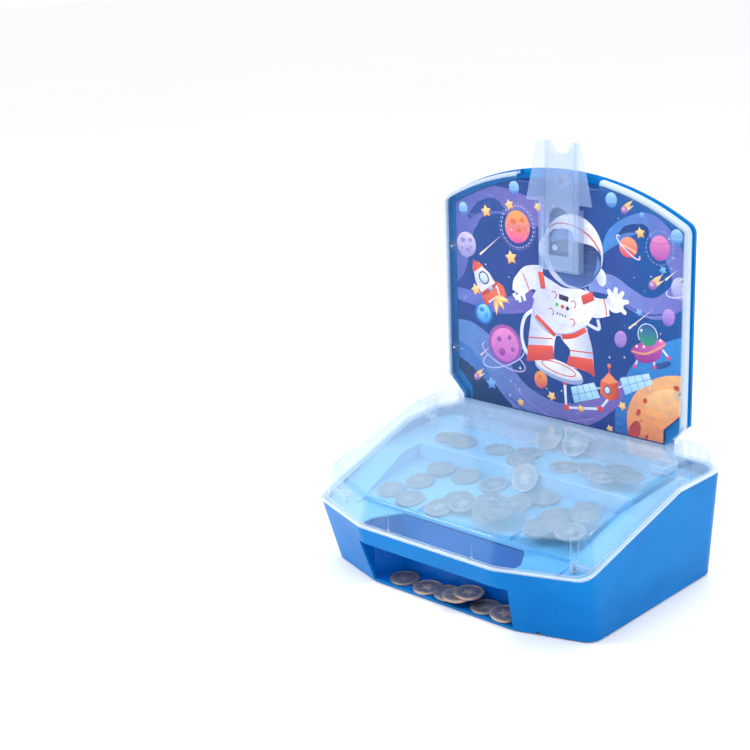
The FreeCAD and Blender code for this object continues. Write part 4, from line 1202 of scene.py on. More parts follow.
    def disc(self, x: float, z: float, wide: float, tall: float, layer: Layer, shade: Shade,
             turn: float = 0.0) -> None:
        """Print an ellipse.

        Args:
            x: Centre across.
            z: Centre up.
            wide: Half its width.
            tall: Half its height.
            layer: Its place in the order of inks.
            shade: Its colours.
            turn: Turn in degrees.
        """
        shape = bmesh.new()
        bmesh.ops.create_circle(shape, cap_ends=True, cap_tris=True, segments=40, radius=1.0,
                                matrix=self._place(x, z, turn, wide, tall))
        self._add(shape, layer, shade)

    def star(self, x: float, z: float, size: float, layer: Layer, shade: Shade, points: int = 5,
             waist: float = 0.5, turn: float = 0.0) -> None:
        """Print a star.

        Args:
            x: Centre across.
            z: Centre up.
            size: Outer radius.
            layer: Its place in the order of inks.
            shade: Its colours.
            points: Number of points.
            waist: Inner radius, as a share of the outer one.
            turn: Turn in degrees.
        """
        shape = bmesh.new()
        made = bmesh.ops.create_circle(shape, cap_ends=True, cap_tris=True, segments=2 * points, radius=size)
        ring = [v for v in made["verts"] if v.co.length > LEVEL]
        bmesh.ops.scale(shape, vec=(waist, waist, 1), verts=ring[1::2])
        bmesh.ops.transform(shape, matrix=self._place(x, z, turn), verts=shape.verts)
        self._add(shape, layer, shade)

    def patch(self, corners: list[tuple[float, float]], layer: Layer, shade: Shade,
              round_off: float = 0.0) -> None:
        """Print a filled outline.

        Args:
            corners: Outline across and up.
            layer: Its place in the order of inks.
            shade: Its colours.
            round_off: How far each corner is rounded, in millimetres.
        """
        shape = bmesh.new()
        face = shape.faces.new([shape.verts.new((x, 0, z)) for x, z in corners])
        if round_off:
            bmesh.ops.bevel(shape, geom=list(face.verts), offset=round_off, segments=4, profile=0.5,
                            affect="VERTICES", material=-1)
        bmesh.ops.triangulate(shape, faces=shape.faces[:])
        self._add(shape, layer, shade)

    def ribbon(self, points: list[tuple[float, float]], widths: list[float], layer: Layer, shade: Shade,
               smooth: int = 6) -> None:
        """Print a band along a line.

        Args:
            points: Line that the band follows.
            widths: Width at the start and the end, or at each point.
            layer: Its place in the order of inks.
            shade: Its colours.
            smooth: Steps between two points.
        """
        line, wide = self._eased(points, widths, smooth)
        shape = bmesh.new()
        made: list[bmesh.types.BMVert] = []
        edge = None
        for i, spot in enumerate(line):
            ahead = line[min(i + 1, len(line) - 1)] - line[max(i - 1, 0)]
            side = Vector((-ahead.z, 0, ahead.x)).normalized() * wide[i] / 2
            if edge is None:
                made = [shape.verts.new(spot + side), shape.verts.new(spot - side)]
                edge = shape.edges.new(made)
                continue
            grown = bmesh.ops.extrude_edge_only(shape, edges=[edge])
            edge = shape.edges.get([g for g in grown["geom"] if isinstance(g, bmesh.types.BMVert)])
            left = max(edge.verts, key=lambda v: (v.co - line[i - 1]).dot(side))
            left.co = spot + side
            edge.other_vert(left).co = spot - side
        self._add(shape, layer, shade)

    @staticmethod
    def _eased(points: list[tuple[float, float]], widths: list[float],
               smooth: int) -> tuple[list[Vector], list[float]]:
        """Curve through the points, with the widths spread along it.

        Args:
            points: Line across and up.
            widths: Two widths, or one for each point.
            smooth: Steps between two points.

        Returns:
            Places along the curve and the width at each.
        """
        spots = [Vector((x, 0, z)) for x, z in points]
        if len(widths) == 2:
            widths = [widths[0] + (widths[1] - widths[0]) * i / (len(spots) - 1) for i in range(len(spots))]
        ends = [2 * spots[0] - spots[1], *spots, 2 * spots[-1] - spots[-2]]
        line, wide = [], []
        for i in range(len(spots) - 1):
            p, q, r, s = ends[i:i + 4]
            for step in range(smooth):
                t = step / smooth
                line.append(0.5 * ((2 * q) + (r - p) * t + (2 * p - 5 * q + 4 * r - s) * t * t
                                   + (3 * q - p - 3 * r + s) * t ** 3))
                wide.append(widths[i] + (widths[i + 1] - widths[i]) * t * t * (3 - 2 * t))
        return line + [spots[-1]], wide + [widths[-1]]

    def hoop(self, x: float, z: float, wide: float, tall: float, width: float, layer: Layer, shade: Shade,
             turn: float = 0.0, start: float = 0.0, span: float = 360.0) -> None:
        """Print part of an elliptical ring.

        Args:
            x: Centre across.
            z: Centre up.
            wide: Half its width.
            tall: Half its height.
            width: Width of the line.
            layer: Its place in the order of inks.
            shade: Its colours.
            turn: Turn in degrees.
            start: Where the arc starts, in degrees.
            span: How far it runs, in degrees.
        """
        count = max(3, int(span / 12))
        lean = math.radians(turn)
        line = []
        for i in range(count + 1):
            angle = math.radians(start + span * i / count)
            u, w = wide * math.cos(angle), tall * math.sin(angle)
            line.append((x + u * math.cos(lean) - w * math.sin(lean),
                         z + u * math.sin(lean) + w * math.cos(lean)))
        self.ribbon(line, [width, width], layer, shade, smooth=1)

    def dashes(self, x: float, z: float, wide: float, tall: float, width: float, count: int, layer: Layer,
               shade: Shade) -> None:
        """Print a dashed elliptical ring.

        Args:
            x: Centre across.
            z: Centre up.
            wide: Half its width.
            tall: Half its height.
            width: Width of the line.
            count: Number of dashes.
            layer: Its place in the order of inks.
            shade: Its colours.
        """
        for i in range(count):
            self.hoop(x, z, wide, tall, width, layer, shade, start=360 * i / count, span=200 / count)

    def finish(self, material: bpy.types.Material) -> bpy.types.Object:
        """Hand the sheet over as a piece."""
        return put(self.bm, self.name, Body.MACHINE, material)


@dataclass
class CardArt:
    """The night-sky picture on the card: swirls, planets, stars, comets, craft and a space walker.

    Attributes:
        seed: Seed of the scattered sparkles.
        sparkles: How many sparkles are scattered.
    """

    seed: int = 11
    sparkles: int = 46

    def swirls(self) -> InkSheet:
        """Bands of coloured cloud and the bright sky low on the right.

        Returns:
            The printed sheet.
        """
        sheet = InkSheet("card_swirls")
        sheet.patch([(50, 100), (50, 124), (62, 160), (80, 182), (112, 196), (112, 100)], Layer.SWIRL,
                    fade("2A66B4", "2F8AD2"), 6.0)
        sheet.ribbon([(-14, 281), (-37, 277), (-56, 283), (-84, 281), (-100, 268), (-106, 248), (-112, 226),
                      (-122, 208)], [22, 26, 22, 26, 30, 24, 26, 20], Layer.SWIRL, sweep("4A5FAE", "7468B4"))
        sheet.ribbon([(-97, 265), (-84, 276), (-70, 279), (-56, 274)], [3, 9, 11, 2], Layer.GLOW,
                     flat("1B3F88"))
        sheet.ribbon([(-122, 199), (-91, 196), (-62, 194), (-28, 203)], [10, 17], Layer.SWIRL,
                     sweep("5A74C0", "6A5AB2"))
        sheet.ribbon([(-122, 166), (-96, 163), (-77, 150), (-58, 128), (-39, 114), (-8, 107), (20, 114),
                      (44, 130), (61, 152)], [16, 22, 26, 26, 26, 24, 20, 16, 8], Layer.GLOW,
                     sweep("4F86C4", "7A60B4"))
        sheet.ribbon([(-122, 150), (-104, 147), (-88, 136), (-72, 120)], [14, 16, 12, 4], Layer.SWIRL,
                     sweep("2F74BC", "4A70BC"))
        sheet.ribbon([(-60, 116), (-36, 104), (0, 98)], [1.0, 1.4], Layer.FAR, flat("4A4497"))
        sheet.ribbon([(-50, 124), (-32, 112), (-2, 104), (30, 112)], [0.8, 1.2], Layer.FAR, flat("9A86CC"))
        sheet.ribbon([(36, 252), (48, 267), (61, 276), (77, 280), (90, 272), (101, 258), (107, 238)],
                     [4, 14, 15, 17, 18, 17, 12], Layer.SWIRL, sweep("3B86CE", "6F6CB8"))
        sheet.ribbon([(51, 268), (60, 274), (74, 275), (77, 268)], [2, 6, 8, 3], Layer.GLOW, flat("0C3F86"))
        sheet.ribbon([(24, 226), (44, 227), (60, 220), (76, 214), (92, 216), (112, 232)],
                     [14, 17, 16, 16, 18, 20], Layer.SWIRL, sweep("7C93D6", "6A66BC"))
        sheet.ribbon([(40, 224), (60, 213), (78, 208), (98, 212)], [0.6, 1.4], Layer.GLOW, flat("2F4596"))
        return sheet

    def planets(self) -> InkSheet:
        """Planets, moons and their rings.

        Returns:
            The printed sheet.
        """
        sheet = InkSheet("card_planets")
        sheet.disc(113.3, 117.9, 52, 46, Layer.BODY, fade("E8733C", "F6B87A"))
        sheet.disc(96, 138, 20, 12, Layer.DETAIL, fade("F2A766", "F8CB92"), 20)
        craters = ((78, 137, 1.9, 2.4), (72, 126, 2.0, 3.2), (68.5, 109, 5.2, 10.5), (80, 107, 1.3, 2.4),
                   (75, 119.5, 0.8, 1.0), (106, 153, 2.6, 2.2))
        for x, z, wide, tall in craters:
            sheet.disc(x, z, wide, tall, Layer.TRIM, fade("D9573A", "B03A2E"), -20)
        sheet.disc(-45.7, 263.2, 12.5, 13.6, Layer.BODY, fade("E8559A", "F4A43A"))
        for x, z, size in ((-50, 267, 3.0), (-41, 269, 2.2), (-44, 260, 2.6), (-38, 262, 1.6)):
            sheet.disc(x, z, size, size * 0.8, Layer.DETAIL, fade("E2702E", "DB6A26"))
        sheet.dashes(-45.7, 263.2, 16.2, 17.4, 0.7, 30, Layer.FAR, flat("C9D0EE"))
        sheet.dashes(-45.7, 263.2, 18.0, 19.2, 0.5, 34, Layer.FAR, flat("9AA6DC"))
        sheet.disc(-99.3, 241.8, 10.2, 10.8, Layer.BODY, fade("8E86C6", "D7CBE8"))
        pocks = ((-103, 245, 2.6), (-95, 246, 2.0), (-98, 237, 2.4), (-94, 240, 1.2), (-104, 238, 1.4))
        for x, z, size in pocks:
            sheet.disc(x, z, size, size * 0.9, Layer.DETAIL, fade("9F97D2", "7F78BC"))
        moons = ((-48.7, 295.3, 5.0), (-101.9, 272.6, 4.6), (44.7, 294.9, 5.2), (103.1, 272.5, 5.4))
        for x, z, size in moons:
            sheet.disc(x, z, size, size * 1.15, Layer.BODY, fade("2F6FC4", "A6D8F6"))
            sheet.ribbon([(x - size * 0.8, z - 1), (x, z - 1.6), (x + size * 0.8, z - 0.6)], [1.0, 1.6],
                         Layer.DETAIL, flat("7FB9EC"))
        sheet.disc(-82, 184, 9.5, 9.5, Layer.GLOW, fade("1F62B8", "2C7CCE"))
        sheet.disc(-82, 184, 7.0, 8.0, Layer.BODY, fade("2C86D8", "8FE0F8"))
        sheet.disc(-84, 187, 2.6, 2.0, Layer.DETAIL, flat("2C86D8"))
        sheet.disc(-79, 182, 2.2, 2.8, Layer.DETAIL, flat("3A98E0"))
        sheet.disc(-60, 160, 17.5, 17.5, Layer.FAR, fade("7A4FA8", "A557A6"))
        sheet.disc(-60, 159.7, 14.3, 14.7, Layer.BODY, fade("C05FC0", "E98CC8"))
        for x, z, size in ((-66, 164, 2.4), (-55, 167, 2.0), (-63, 153, 3.4), (-52, 157, 2.0)):
            sheet.disc(x, z, size, size, Layer.DETAIL, fade("7A3F98", "A84FA4"))
        sheet.hoop(-61.5, 149, 23.5, 8.0, 1.1, Layer.TRIM, flat("C4B4E6"), -18, 160, 250)
        sheet.hoop(-61.5, 149, 23.5, 8.0, 1.1, Layer.TRIM, flat("B4C0EC"), 24, 130, 250)
        sheet.disc(-22.9, 135.7, 6.6, 7.6, Layer.BODY, fade("D24A5A", "F6A63C"))
        sheet.disc(-24, 138, 2.0, 1.6, Layer.DETAIL, flat("E0602E"))
        sheet.disc(60.6, 259.5, 8.2, 8.2, Layer.BODY, fade("D9435A", "F8A07A"))
        sheet.ribbon([(53, 261), (61, 259), (68, 256)], [1.6, 1.8], Layer.DETAIL, flat("F6C08C"))
        sheet.hoop(60.6, 259.5, 13.2, 3.4, 1.2, Layer.TRIM, flat("D9D2F2"), -38, 150, 240)
        sheet.disc(88.6, 262.4, 8.6, 9.8, Layer.BODY, fade("B04FA8", "E58AC0"))
        for rise in (-4.0, 0.5, 4.6):
            sheet.ribbon([(81.2, 262 + rise), (88, 261 + rise), (96, 262.4 + rise)], [1.0, 1.0], Layer.DETAIL,
                         flat("C868B4"))
        sheet.dashes(88.6, 262.4, 12.0, 13.4, 0.6, 24, Layer.FAR, flat("9F9CDC"))
        sheet.disc(107.4, 233, 8.2, 9.0, Layer.BODY, fade("8C8CCC", "D4D6F4"))
        sheet.hoop(107.4, 231, 12.8, 4.4, 1.1, Layer.TRIM, flat("C7CBEE"), 18, 150, 250)
        for x, z in ((97.5, 208.8), (54.6, 184.2)):
            sheet.disc(x, z, 5.6, 7.0, Layer.BODY, fade("7A62BE", "C49ADC"), -12)
            for rise in (-2.6, 0.8, 3.6):
                sheet.ribbon([(x - 4.6, z + rise), (x, z + rise - 0.8), (x + 4.6, z + rise)], [0.9, 0.9],
                             Layer.DETAIL, flat("A483D0"))
        return sheet

    def stars(self) -> InkSheet:
        """Gold and blue stars and scattered sparkles.

        Returns:
            The printed sheet.
        """
        sheet = InkSheet("card_stars")
        gold = ((-77.9, 273, 5.2), (-53.7, 280.9, 4.6), (-25.1, 282.2, 4.2), (-52.7, 236.8, 6.0),
                (-90.1, 204.2, 5.2), (-12.2, 123.6, 4.4), (-44.2, 111.8, 3.8), (17.1, 118.6, 3.4),
                (56.9, 129, 4.0), (70.9, 272.3, 4.4), (45.3, 106.8, 3.6))
        for i, (x, z, size) in enumerate(gold):
            turn = 83 + 11 * (i % 3)
            sheet.star(x + 0.4, z - 0.5, size * 1.05, Layer.BODY, flat("D98A3A"), turn=turn, waist=0.55)
            sheet.star(x, z, size, Layer.DETAIL, fade("F3B24C", "FFE6A0"), turn=turn, waist=0.52)
        blue = ((-75, 122.6, 6.0), (72.3, 286.4, 2.6), (91.8, 245.5, 3.6), (71.1, 208.9, 3.4))
        for i, (x, z, size) in enumerate(blue):
            sheet.star(x, z, size, Layer.BODY, fade("3F86D6", "8FC8F4"), turn=80 + 9 * i, waist=0.55)
        chance = random.Random(self.seed)
        for i in range(self.sparkles):
            x, z = chance.uniform(-107, 107), chance.uniform(110, 292)
            if (x / 42) ** 2 + ((z - 214) / 60) ** 2 < 1:
                continue
            size = chance.uniform(0.5, 1.0)
            if i % 3 == 0:
                sheet.star(x, z, size * 2.4, Layer.BODY, flat("F4F6FF"), points=4, waist=0.22)
            else:
                code = "FFD98A" if i % 3 == 1 else "DCE6FF"
                sheet.disc(x, z, size * 0.7, size * 0.7, Layer.BODY, flat(code))
        return sheet

    def comets(self) -> InkSheet:
        """Comets with burning heads and long streaks.

        Returns:
            The printed sheet.
        """
        sheet = InkSheet("card_comets")
        for (x, z), (u, w) in (((-63.1, 253.3), (-85, 234.9)), ((84.2, 213.6), (62.1, 194.3)),
                               ((104, 247), (94, 238)), ((-76, 155), (-86, 146))):
            sheet.ribbon([(x, z), ((x + u) / 2, (z + w) / 2), (u, w)], [0.3, 0.9, 1.7], Layer.DETAIL,
                         sweep("F6E7C0", "B9B0D8"))
        for x, z, size in ((-91, 125.5, 5.2), (56.5, 288.3, 5.0), (82.9, 232.3, 5.8)):
            sheet.ribbon([(x + size * 1.5, z + size * 1.7), (x + size * 0.5, z + size * 0.7), (x, z)],
                         [0.3, size * 0.8, size * 1.25], Layer.BODY, fade("F08A34", "FCE19A"))
            sheet.ribbon([(x + size * 1.7, z + size * 0.9), (x + size * 0.6, z + size * 0.2), (x, z)],
                         [0.3, size * 0.5, size * 0.9], Layer.BODY, fade("F3A04A", "FFF0C0"))
            sheet.disc(x, z, size * 0.62, size * 0.62, Layer.DETAIL, fade("7A5BA8", "C98AB8"))
            sheet.disc(x - 0.6, z + 0.6, size * 0.24, size * 0.24, Layer.TRIM, flat("E3B8D4"))
        return sheet

    def rocket(self) -> InkSheet:
        """Rocket with a round window, fins and flames, flying up to the left.

        Returns:
            The printed sheet.
        """
        sheet = InkSheet("card_rocket")
        for x, z in ((-68.2, 184.5), (-60.2, 190.4), (-54.6, 197.2)):
            sheet.ribbon([(-69, 203), ((x - 69) / 2, (z + 203) / 2), (x, z)], [6.5, 5.5, 0.4], Layer.FAR,
                         fade("F6C56A", "E5532E"))
            sheet.ribbon([(-68, 202), ((x - 69) / 2, (z + 203) / 2), (x - 0.6, z + 2.4)], [3.4, 2.8, 0.3],
                         Layer.BODY, fade("FFF0B4", "F8A83C"))
        sheet.patch([(-84, 208), (-82.6, 196), (-79, 188.6), (-75, 197), (-66, 204.5), (-57.2, 202),
                     (-61, 211), (-72, 215)], Layer.BODY, sweep("C93B28", "F0683A"), 1.2)
        sheet.ribbon([(-92, 229), (-88.5, 224), (-81.5, 213.5), (-74, 203.5), (-70, 199)],
                     [0.6, 9.5, 18, 18.5, 15], Layer.DETAIL, sweep("CFCBE6", "FBF4F2"))
        sheet.ribbon([(-92.4, 229.6), (-90, 226.2), (-87.2, 222)], [0.4, 6.5, 12.6], Layer.TRIM,
                     sweep("C93B28", "F0683A"))
        sheet.ribbon([(-77.5, 206.8), (-71.8, 198.6)], [18.6, 15.5], Layer.TRIM, sweep("D6462C", "F47A46"))
        sheet.ribbon([(-82.5, 200.5), (-75, 205.6), (-67.6, 212.6)], [1.3, 1.3], Layer.TOP, flat("8A2A2A"))
        sheet.disc(-81.2, 215.2, 5.0, 6.0, Layer.TRIM, flat("2E3C6E"), 40)
        sheet.disc(-81.2, 215.2, 3.8, 4.7, Layer.TOP, fade("A9C8EC", "E8F4FF"), 40)
        sheet.disc(-74.6, 207.4, 2.2, 2.6, Layer.TOP, fade("7FA6D8", "D4E6FA"), 40)
        sheet.patch([(-72, 212), (-64.5, 213.6), (-62.4, 207.5), (-67, 206)], Layer.BODY,
                    sweep("D6462C", "F0683A"), 1)
        return sheet

    def saucer(self) -> InkSheet:
        """Flying saucer with lamps, legs and an empty green cabin.

        Returns:
            The printed sheet.
        """
        sheet = InkSheet("card_saucer")
        sheet.disc(93, 169.5, 8.5, 2.6, Layer.GLOW, flat("1E4E94"), 22)
        for x, z, u, w in ((71, 172, 68.2, 164.2), (85, 174, 86, 166.6), (93, 182, 98.6, 176.4)):
            sheet.ribbon([(x, z), (u, w)], [1.8, 1.6], Layer.FAR, flat("E6E0F4"), smooth=1)
            sheet.disc(u, w, 1.8, 1.8, Layer.BODY, fade("B33A6A", "E5608C"))
        sheet.disc(80, 176.5, 12.8, 7.4, Layer.BODY, fade("8A2C8C", "C84FA8"), 22)
        sheet.disc(80, 181.8, 16.6, 5.4, Layer.DETAIL, sweep("A83C9C", "E06AB8"), 22)
        sheet.ribbon([(64.8, 176.2), (79, 176.6), (95.8, 187.4)], [0.9, 1.5, 0.9], Layer.TRIM, flat("F6B24C"))
        for x, z in ((69.5, 181.0), (76.0, 181.8), (84.0, 185.6), (91.0, 189.4)):
            sheet.disc(x, z, 1.2, 1.2, Layer.TRIM, flat("FFE6C0"))
        sheet.disc(79.4, 191.6, 8.6, 9.0, Layer.TRIM, fade("3D8F7C", "2C4E94"), 14)
        sheet.disc(79.2, 190.4, 6.4, 6.4, Layer.TOP, fade("2E9A5C", "2C6FA0"), 14)
        sheet.hoop(79.4, 191.6, 8.8, 9.2, 0.8, Layer.TOP, flat("C9DCF6"), 14, -20, 220)
        sheet.ribbon([(73.6, 195.6), (74.2, 192.0), (75.6, 189.6)], [1.8, 0.8], Layer.TOP, flat("F4FAFF"))
        return sheet

    def satellite(self) -> InkSheet:
        """Satellite on its strut, with two ribbed panels.

        Returns:
            The printed sheet.
        """
        sheet = InkSheet("card_satellite")
        panels = ([(7.2, 135.1), (29.8, 143.3), (36.0, 131.5), (10.7, 121.8)],
                  [(54.4, 151.8), (80.7, 160.5), (84.9, 152.4), (59.6, 138.5)])
        for corners in panels:
            sheet.patch(corners, Layer.DETAIL, fade("8CC4EA", "C9EDFB"))
            a, b, c, d = [Vector(p) for p in corners]
            for share in (0.25, 0.5, 0.75):
                p, q = a.lerp(b, share), d.lerp(c, share)
                sheet.ribbon([tuple(p), tuple(q)], [0.6, 0.6], Layer.TRIM, flat("5F9FD6"), smooth=1)
            p, q = a.lerp(d, 0.5), b.lerp(c, 0.5)
            sheet.ribbon([tuple(p), tuple(q)], [0.6, 0.6], Layer.TRIM, flat("5F9FD6"), smooth=1)
        sheet.ribbon([(30, 138), (40, 141)], [1.4, 1.4], Layer.BODY, flat("C7D4EA"), smooth=1)
        sheet.ribbon([(50, 142), (58, 146)], [1.4, 1.4], Layer.BODY, flat("C7D4EA"), smooth=1)
        sheet.ribbon([(44.2, 160.2), (44.3, 150)], [1.0, 1.6], Layer.BODY, flat("D8502E"), smooth=1)
        sheet.disc(44.2, 160.2, 1.7, 1.7, Layer.DETAIL, flat("F07A46"))
        sheet.patch([(44, 154.4), (52.8, 147.7), (53.4, 134.1), (44.5, 130.6), (35.6, 135.2), (36.4, 146)],
                    Layer.DETAIL, sweep("F0703A", "C4452C"), 1.0)
        sheet.patch([(44, 154.4), (52.8, 147.7), (44.6, 144.6), (36.4, 146)], Layer.TRIM, flat("F6905C"), 0.6)
        sheet.disc(42.6, 139.2, 3.3, 3.8, Layer.TRIM, flat("3A5A9A"))
        sheet.disc(42.6, 139.2, 2.3, 2.8, Layer.TOP, fade("A9D0F0", "EAF6FF"))
        return sheet

    def walker(self) -> InkSheet:
        """Space walker in a white suit with a mirrored visor, floating over a round landing stand.

        Returns:
            The printed sheet.
        """
        sheet = InkSheet("card_walker")
        suit, shadow, red = ("B9C2E2", "F6F4FB"), "AAB4DA", ("C8382A", "F0583C")
        sheet.ribbon([(1.0, 139), (2.7, 116.3)], [3.0, 2.2], Layer.FAR, flat("DDE2F2"), smooth=1)
        sheet.ribbon([(2.7, 116.3), (36.0, 121.8)], [2.2, 2.2], Layer.FAR, flat("DDE2F2"), smooth=1)
        sheet.ribbon([(36.0, 121.8), (43.6, 132)], [2.2, 2.2], Layer.FAR, flat("DDE2F2"), smooth=1)
        for x, z in ((2.7, 116.3), (36.0, 121.8)):
            sheet.disc(x, z, 2.8, 2.8, Layer.BODY, fade(*red))
        sheet.patch([(-2.6, 142), (4.8, 143), (3.4, 136), (-0.6, 135.6)], Layer.BODY, fade(*red), 0.8)
        sheet.disc(-4.6, 145.6, 24.2, 7.2, Layer.BODY, fade("8E9ACB", "C9D0EA"), -9)
        sheet.disc(-5.4, 148.8, 24.0, 6.8, Layer.DETAIL, fade("D5DBF0", "FBFAFF"), -9)
        sheet.hoop(-5.0, 149.0, 17.0, 4.4, 0.9, Layer.TRIM, flat("D8442E"), -9)
        sheet.ribbon([(-29, 196), (-38.5, 188.2), (-42.3, 175.2), (-40.6, 163.0), (-34, 153)], [3.2, 3.2],
                     Layer.FAR, sweep("D9DEF2", "F4F6FF"))
        sheet.ribbon([(-30, 205), (-24, 213), (-14, 216)], [3.0, 3.0], Layer.FAR, flat("C9D0EC"))
        sheet.ribbon([(22, 192), (34, 189), (33, 197)], [2.8, 2.8], Layer.FAR, flat("D9DEF2"))
        sheet.ribbon([(-17.5, 190), (-21.5, 174), (-23.4, 154)], [29, 26, 26], Layer.DETAIL,
                     sweep(suit[0], suit[1]))
        sheet.ribbon([(9, 184), (17.0, 170), (17.6, 152)], [28, 22, 24], Layer.DETAIL,
                     sweep(suit[1], suit[0]))
        sheet.patch([(-36, 164), (-10.6, 167.6), (-9.2, 156.0), (-37.4, 149.4)], Layer.TRIM, fade(*red), 1.2)
        sheet.patch([(5.0, 161.6), (28.4, 163.0), (31.0, 148.0), (24, 151), (3.0, 153.4)], Layer.TRIM,
                    fade(*red), 1.2)
        for a, b in (((-35.6, 170.6), (-10.9, 173.4)), ((6.0, 166.4), (29.0, 168.0))):
            sheet.ribbon([a, b], [1.0, 1.0], Layer.TRIM, flat("D8442E"), smooth=1)
        sheet.patch([(-27, 229), (-14.8, 224), (-0.8, 218), (20.0, 220), (32.4, 210), (28, 198), (21, 188),
                     (9.7, 181.6), (-7.9, 177.4), (-24, 184), (-32.2, 194), (-27, 212)], Layer.TRIM,
                    sweep("C3CBE8", "F8F6FC"), 4.0)
        sheet.ribbon([(-31.0, 196), (-26, 186), (-12, 178), (8, 181), (22, 190)], [0.5, 2.2, 2.6, 2.2, 0.5],
                     Layer.TOP, flat(shadow))
        sheet.ribbon([(-27.6, 190.6), (-17, 183), (-8.4, 176.6)], [3.6, 3.6], Layer.TOP, fade(*red))
        sheet.ribbon([(-1.6, 176.6), (10, 179.6), (21.6, 186.6)], [4.2, 4.2], Layer.TOP, fade(*red))
        sheet.ribbon([(-20.5, 222.5), (-33, 222.4), (-42, 215), (-46.2, 207)], [23, 20, 17, 12], Layer.DETAIL,
                     sweep("F6F4FB", "CCD3EC"))
        fingers = ((-50, 203.5, -46.4, 201), (-45.2, 203, -43.2, 199.6), (-40.6, 204.6, -38.4, 201.6))
        for x, z, u, w in fingers:
            sheet.ribbon([(x, z + 3), (u, w)], [3.6, 2.8], Layer.TRIM, flat("EEF0FA"), smooth=1)
        sheet.ribbon([(-40.6, 224.6), (-36.6, 217), (-33.2, 209.4)], [0.9, 0.9], Layer.TOP, flat("D8442E"))
        sheet.patch([(-25.6, 228.6), (-20.1, 228.4), (-17.5, 215.0), (-22.4, 214.2)], Layer.TOP,
                    fade(*red), 0.8)
        sheet.ribbon([(17.5, 212), (29.5, 206.4), (43.0, 208.4)], [19, 17, 14], Layer.DETAIL,
                     sweep("D5DBF0", "F8F6FC"))
        sheet.disc(49.0, 213.0, 8.2, 8.0, Layer.TRIM, sweep("DADFF2", "FFFFFF"))
        for x, z in ((43.4, 222.0), (49.6, 224.4), (55.8, 222.0), (60.2, 215.6), (58.0, 206.6)):
            sheet.ribbon([(49.2, 213.4), (x, z)], [6.4, 3.4], Layer.TRIM, flat("F4F5FC"), smooth=1)
            sheet.disc(x, z, 1.8, 1.8, Layer.TRIM, flat("F4F5FC"))
        sheet.ribbon([(38.2, 215.4), (40.6, 208), (41.2, 201.2)], [1.0, 1.0], Layer.TOP, flat("D8442E"))
        sheet.patch([(16.8, 214.0), (27.6, 219.3), (30.0, 212.4), (19.2, 206.8)], Layer.TOP, fade(*red), 0.8)
        self._chest(sheet)
        self._helmet(sheet)
        return sheet

    @staticmethod
    def _chest(sheet: InkSheet) -> None:
        """Display, buttons and hooks on the chest.

        Args:
            sheet: Sheet being printed.
        """
        sheet.patch([(-4.4, 212.6), (5.2, 211.4), (4.4, 206.9), (-4.4, 208.3)], Layer.TOP,
                    flat("2A2340"), 0.6)
        for x, z, code in ((-6.4, 203.4, "6BBF5A"), (-1.0, 202.3, "D8442E"), (3.8, 201.5, "2A2340")):
            sheet.disc(x, z, 1.7, 1.7, Layer.TOP, flat(code))
        for i in range(4):
            sheet.disc(-6.0 + 2.6 * i, 196.0 - 0.5 * i, 0.7, 1.1, Layer.TOP, flat("4A4468"))
        for x, z in ((-9.6, 211.0), (9.4, 205.8), (-12.4, 196.2), (8.4, 190.6)):
            sheet.hoop(x, z, 2.6, 2.8, 0.9, Layer.TOP, flat("C94A4A"), 0, -80, 220)

    @staticmethod
    def _helmet(sheet: InkSheet) -> None:
        """Round helmet, its stripe and ear cups, and the mirrored visor.

        Args:
            sheet: Sheet being printed.
        """
        sheet.disc(36.0, 232, 4.6, 7.2, Layer.DETAIL, sweep("C3CBE8", "F4F5FC"), 10)
        sheet.disc(-20.4, 250, 3.6, 8.6, Layer.DETAIL, fade("C3CBE8", "F4F5FC"), -8)
        sheet.disc(8.6, 249.4, 29.0, 30.4, Layer.TRIM, fade("BAC3E4", "FCFAFF"), -6)
        sheet.ribbon([(-14, 266.6), (-6, 270.8), (4, 271.2), (16, 268.4), (27, 262), (35.2, 252)], [0.9, 1.3],
                     Layer.TOP, flat("D8442E"))
        visor = [(-16.5, 259.5), (-9, 266.2), (1, 266.6), (6.5, 259.8), (16, 257.6), (28, 256.6),
                 (36.4, 250.5), (35.6, 238), (28, 226.8), (16, 219.8), (2, 221.8), (-9, 231), (-15.6, 244)]
        sheet.patch(visor, Layer.TOP, fade("4767A8", "142452"), 3.0)
        sheet.ribbon([(-12, 256), (-4, 262), (5, 262.6), (9, 256)], [4, 9, 8, 2], Layer.GLINT,
                     sweep("7FA6DC", "3C63AC"))
        sheet.ribbon([(29, 232), (33, 240), (32.6, 248)], [0.8, 3.2, 1.0], Layer.GLINT, flat("5F86C4"))
        sheet.ribbon([(4, 226), (14, 223.4), (24, 227.4)], [0.8, 2.4, 0.8], Layer.GLINT, flat("3C5FA6"))
        sheet.disc(-8.4, 250.6, 2.6, 2.6, Layer.GLINT, flat("F4FAFF"))

    def build(self, material: bpy.types.Material) -> None:
        """Print every sheet.

        Args:
            material: Ink that reads its colour from the tint.
        """
        sheets = (self.swirls(), self.planets(), self.stars(), self.comets(), self.rocket(), self.saucer(),
                  self.satellite(), self.walker())
        for sheet in sheets:
            sheet.finish(material)


@dataclass
class SubAssembly:
    """CAD nodes that keep their shape and get their slot's finish.

    Attributes:
        title: What the log calls it.
        nodes: Its nodes.
    """

    title: str
    nodes: tuple[str, ...]

    def dress(self, rack: dict[Slot, bpy.types.Material], special: dict[str, bpy.types.Material]) -> None:
        """Give each node the finish of its slot.

        Args:
            rack: Materials by slot.
            special: Materials of single nodes that differ from the rest of their slot.
        """
        for name in self.nodes:
            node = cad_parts[name]
            slots = node.data.materials
            for i, worn in enumerate(slots):
                slots[i] = special.get(name) or rack[Slot(worn.name.split(".")[0])]
            log.info("%s: %s dressed", self.title, name)


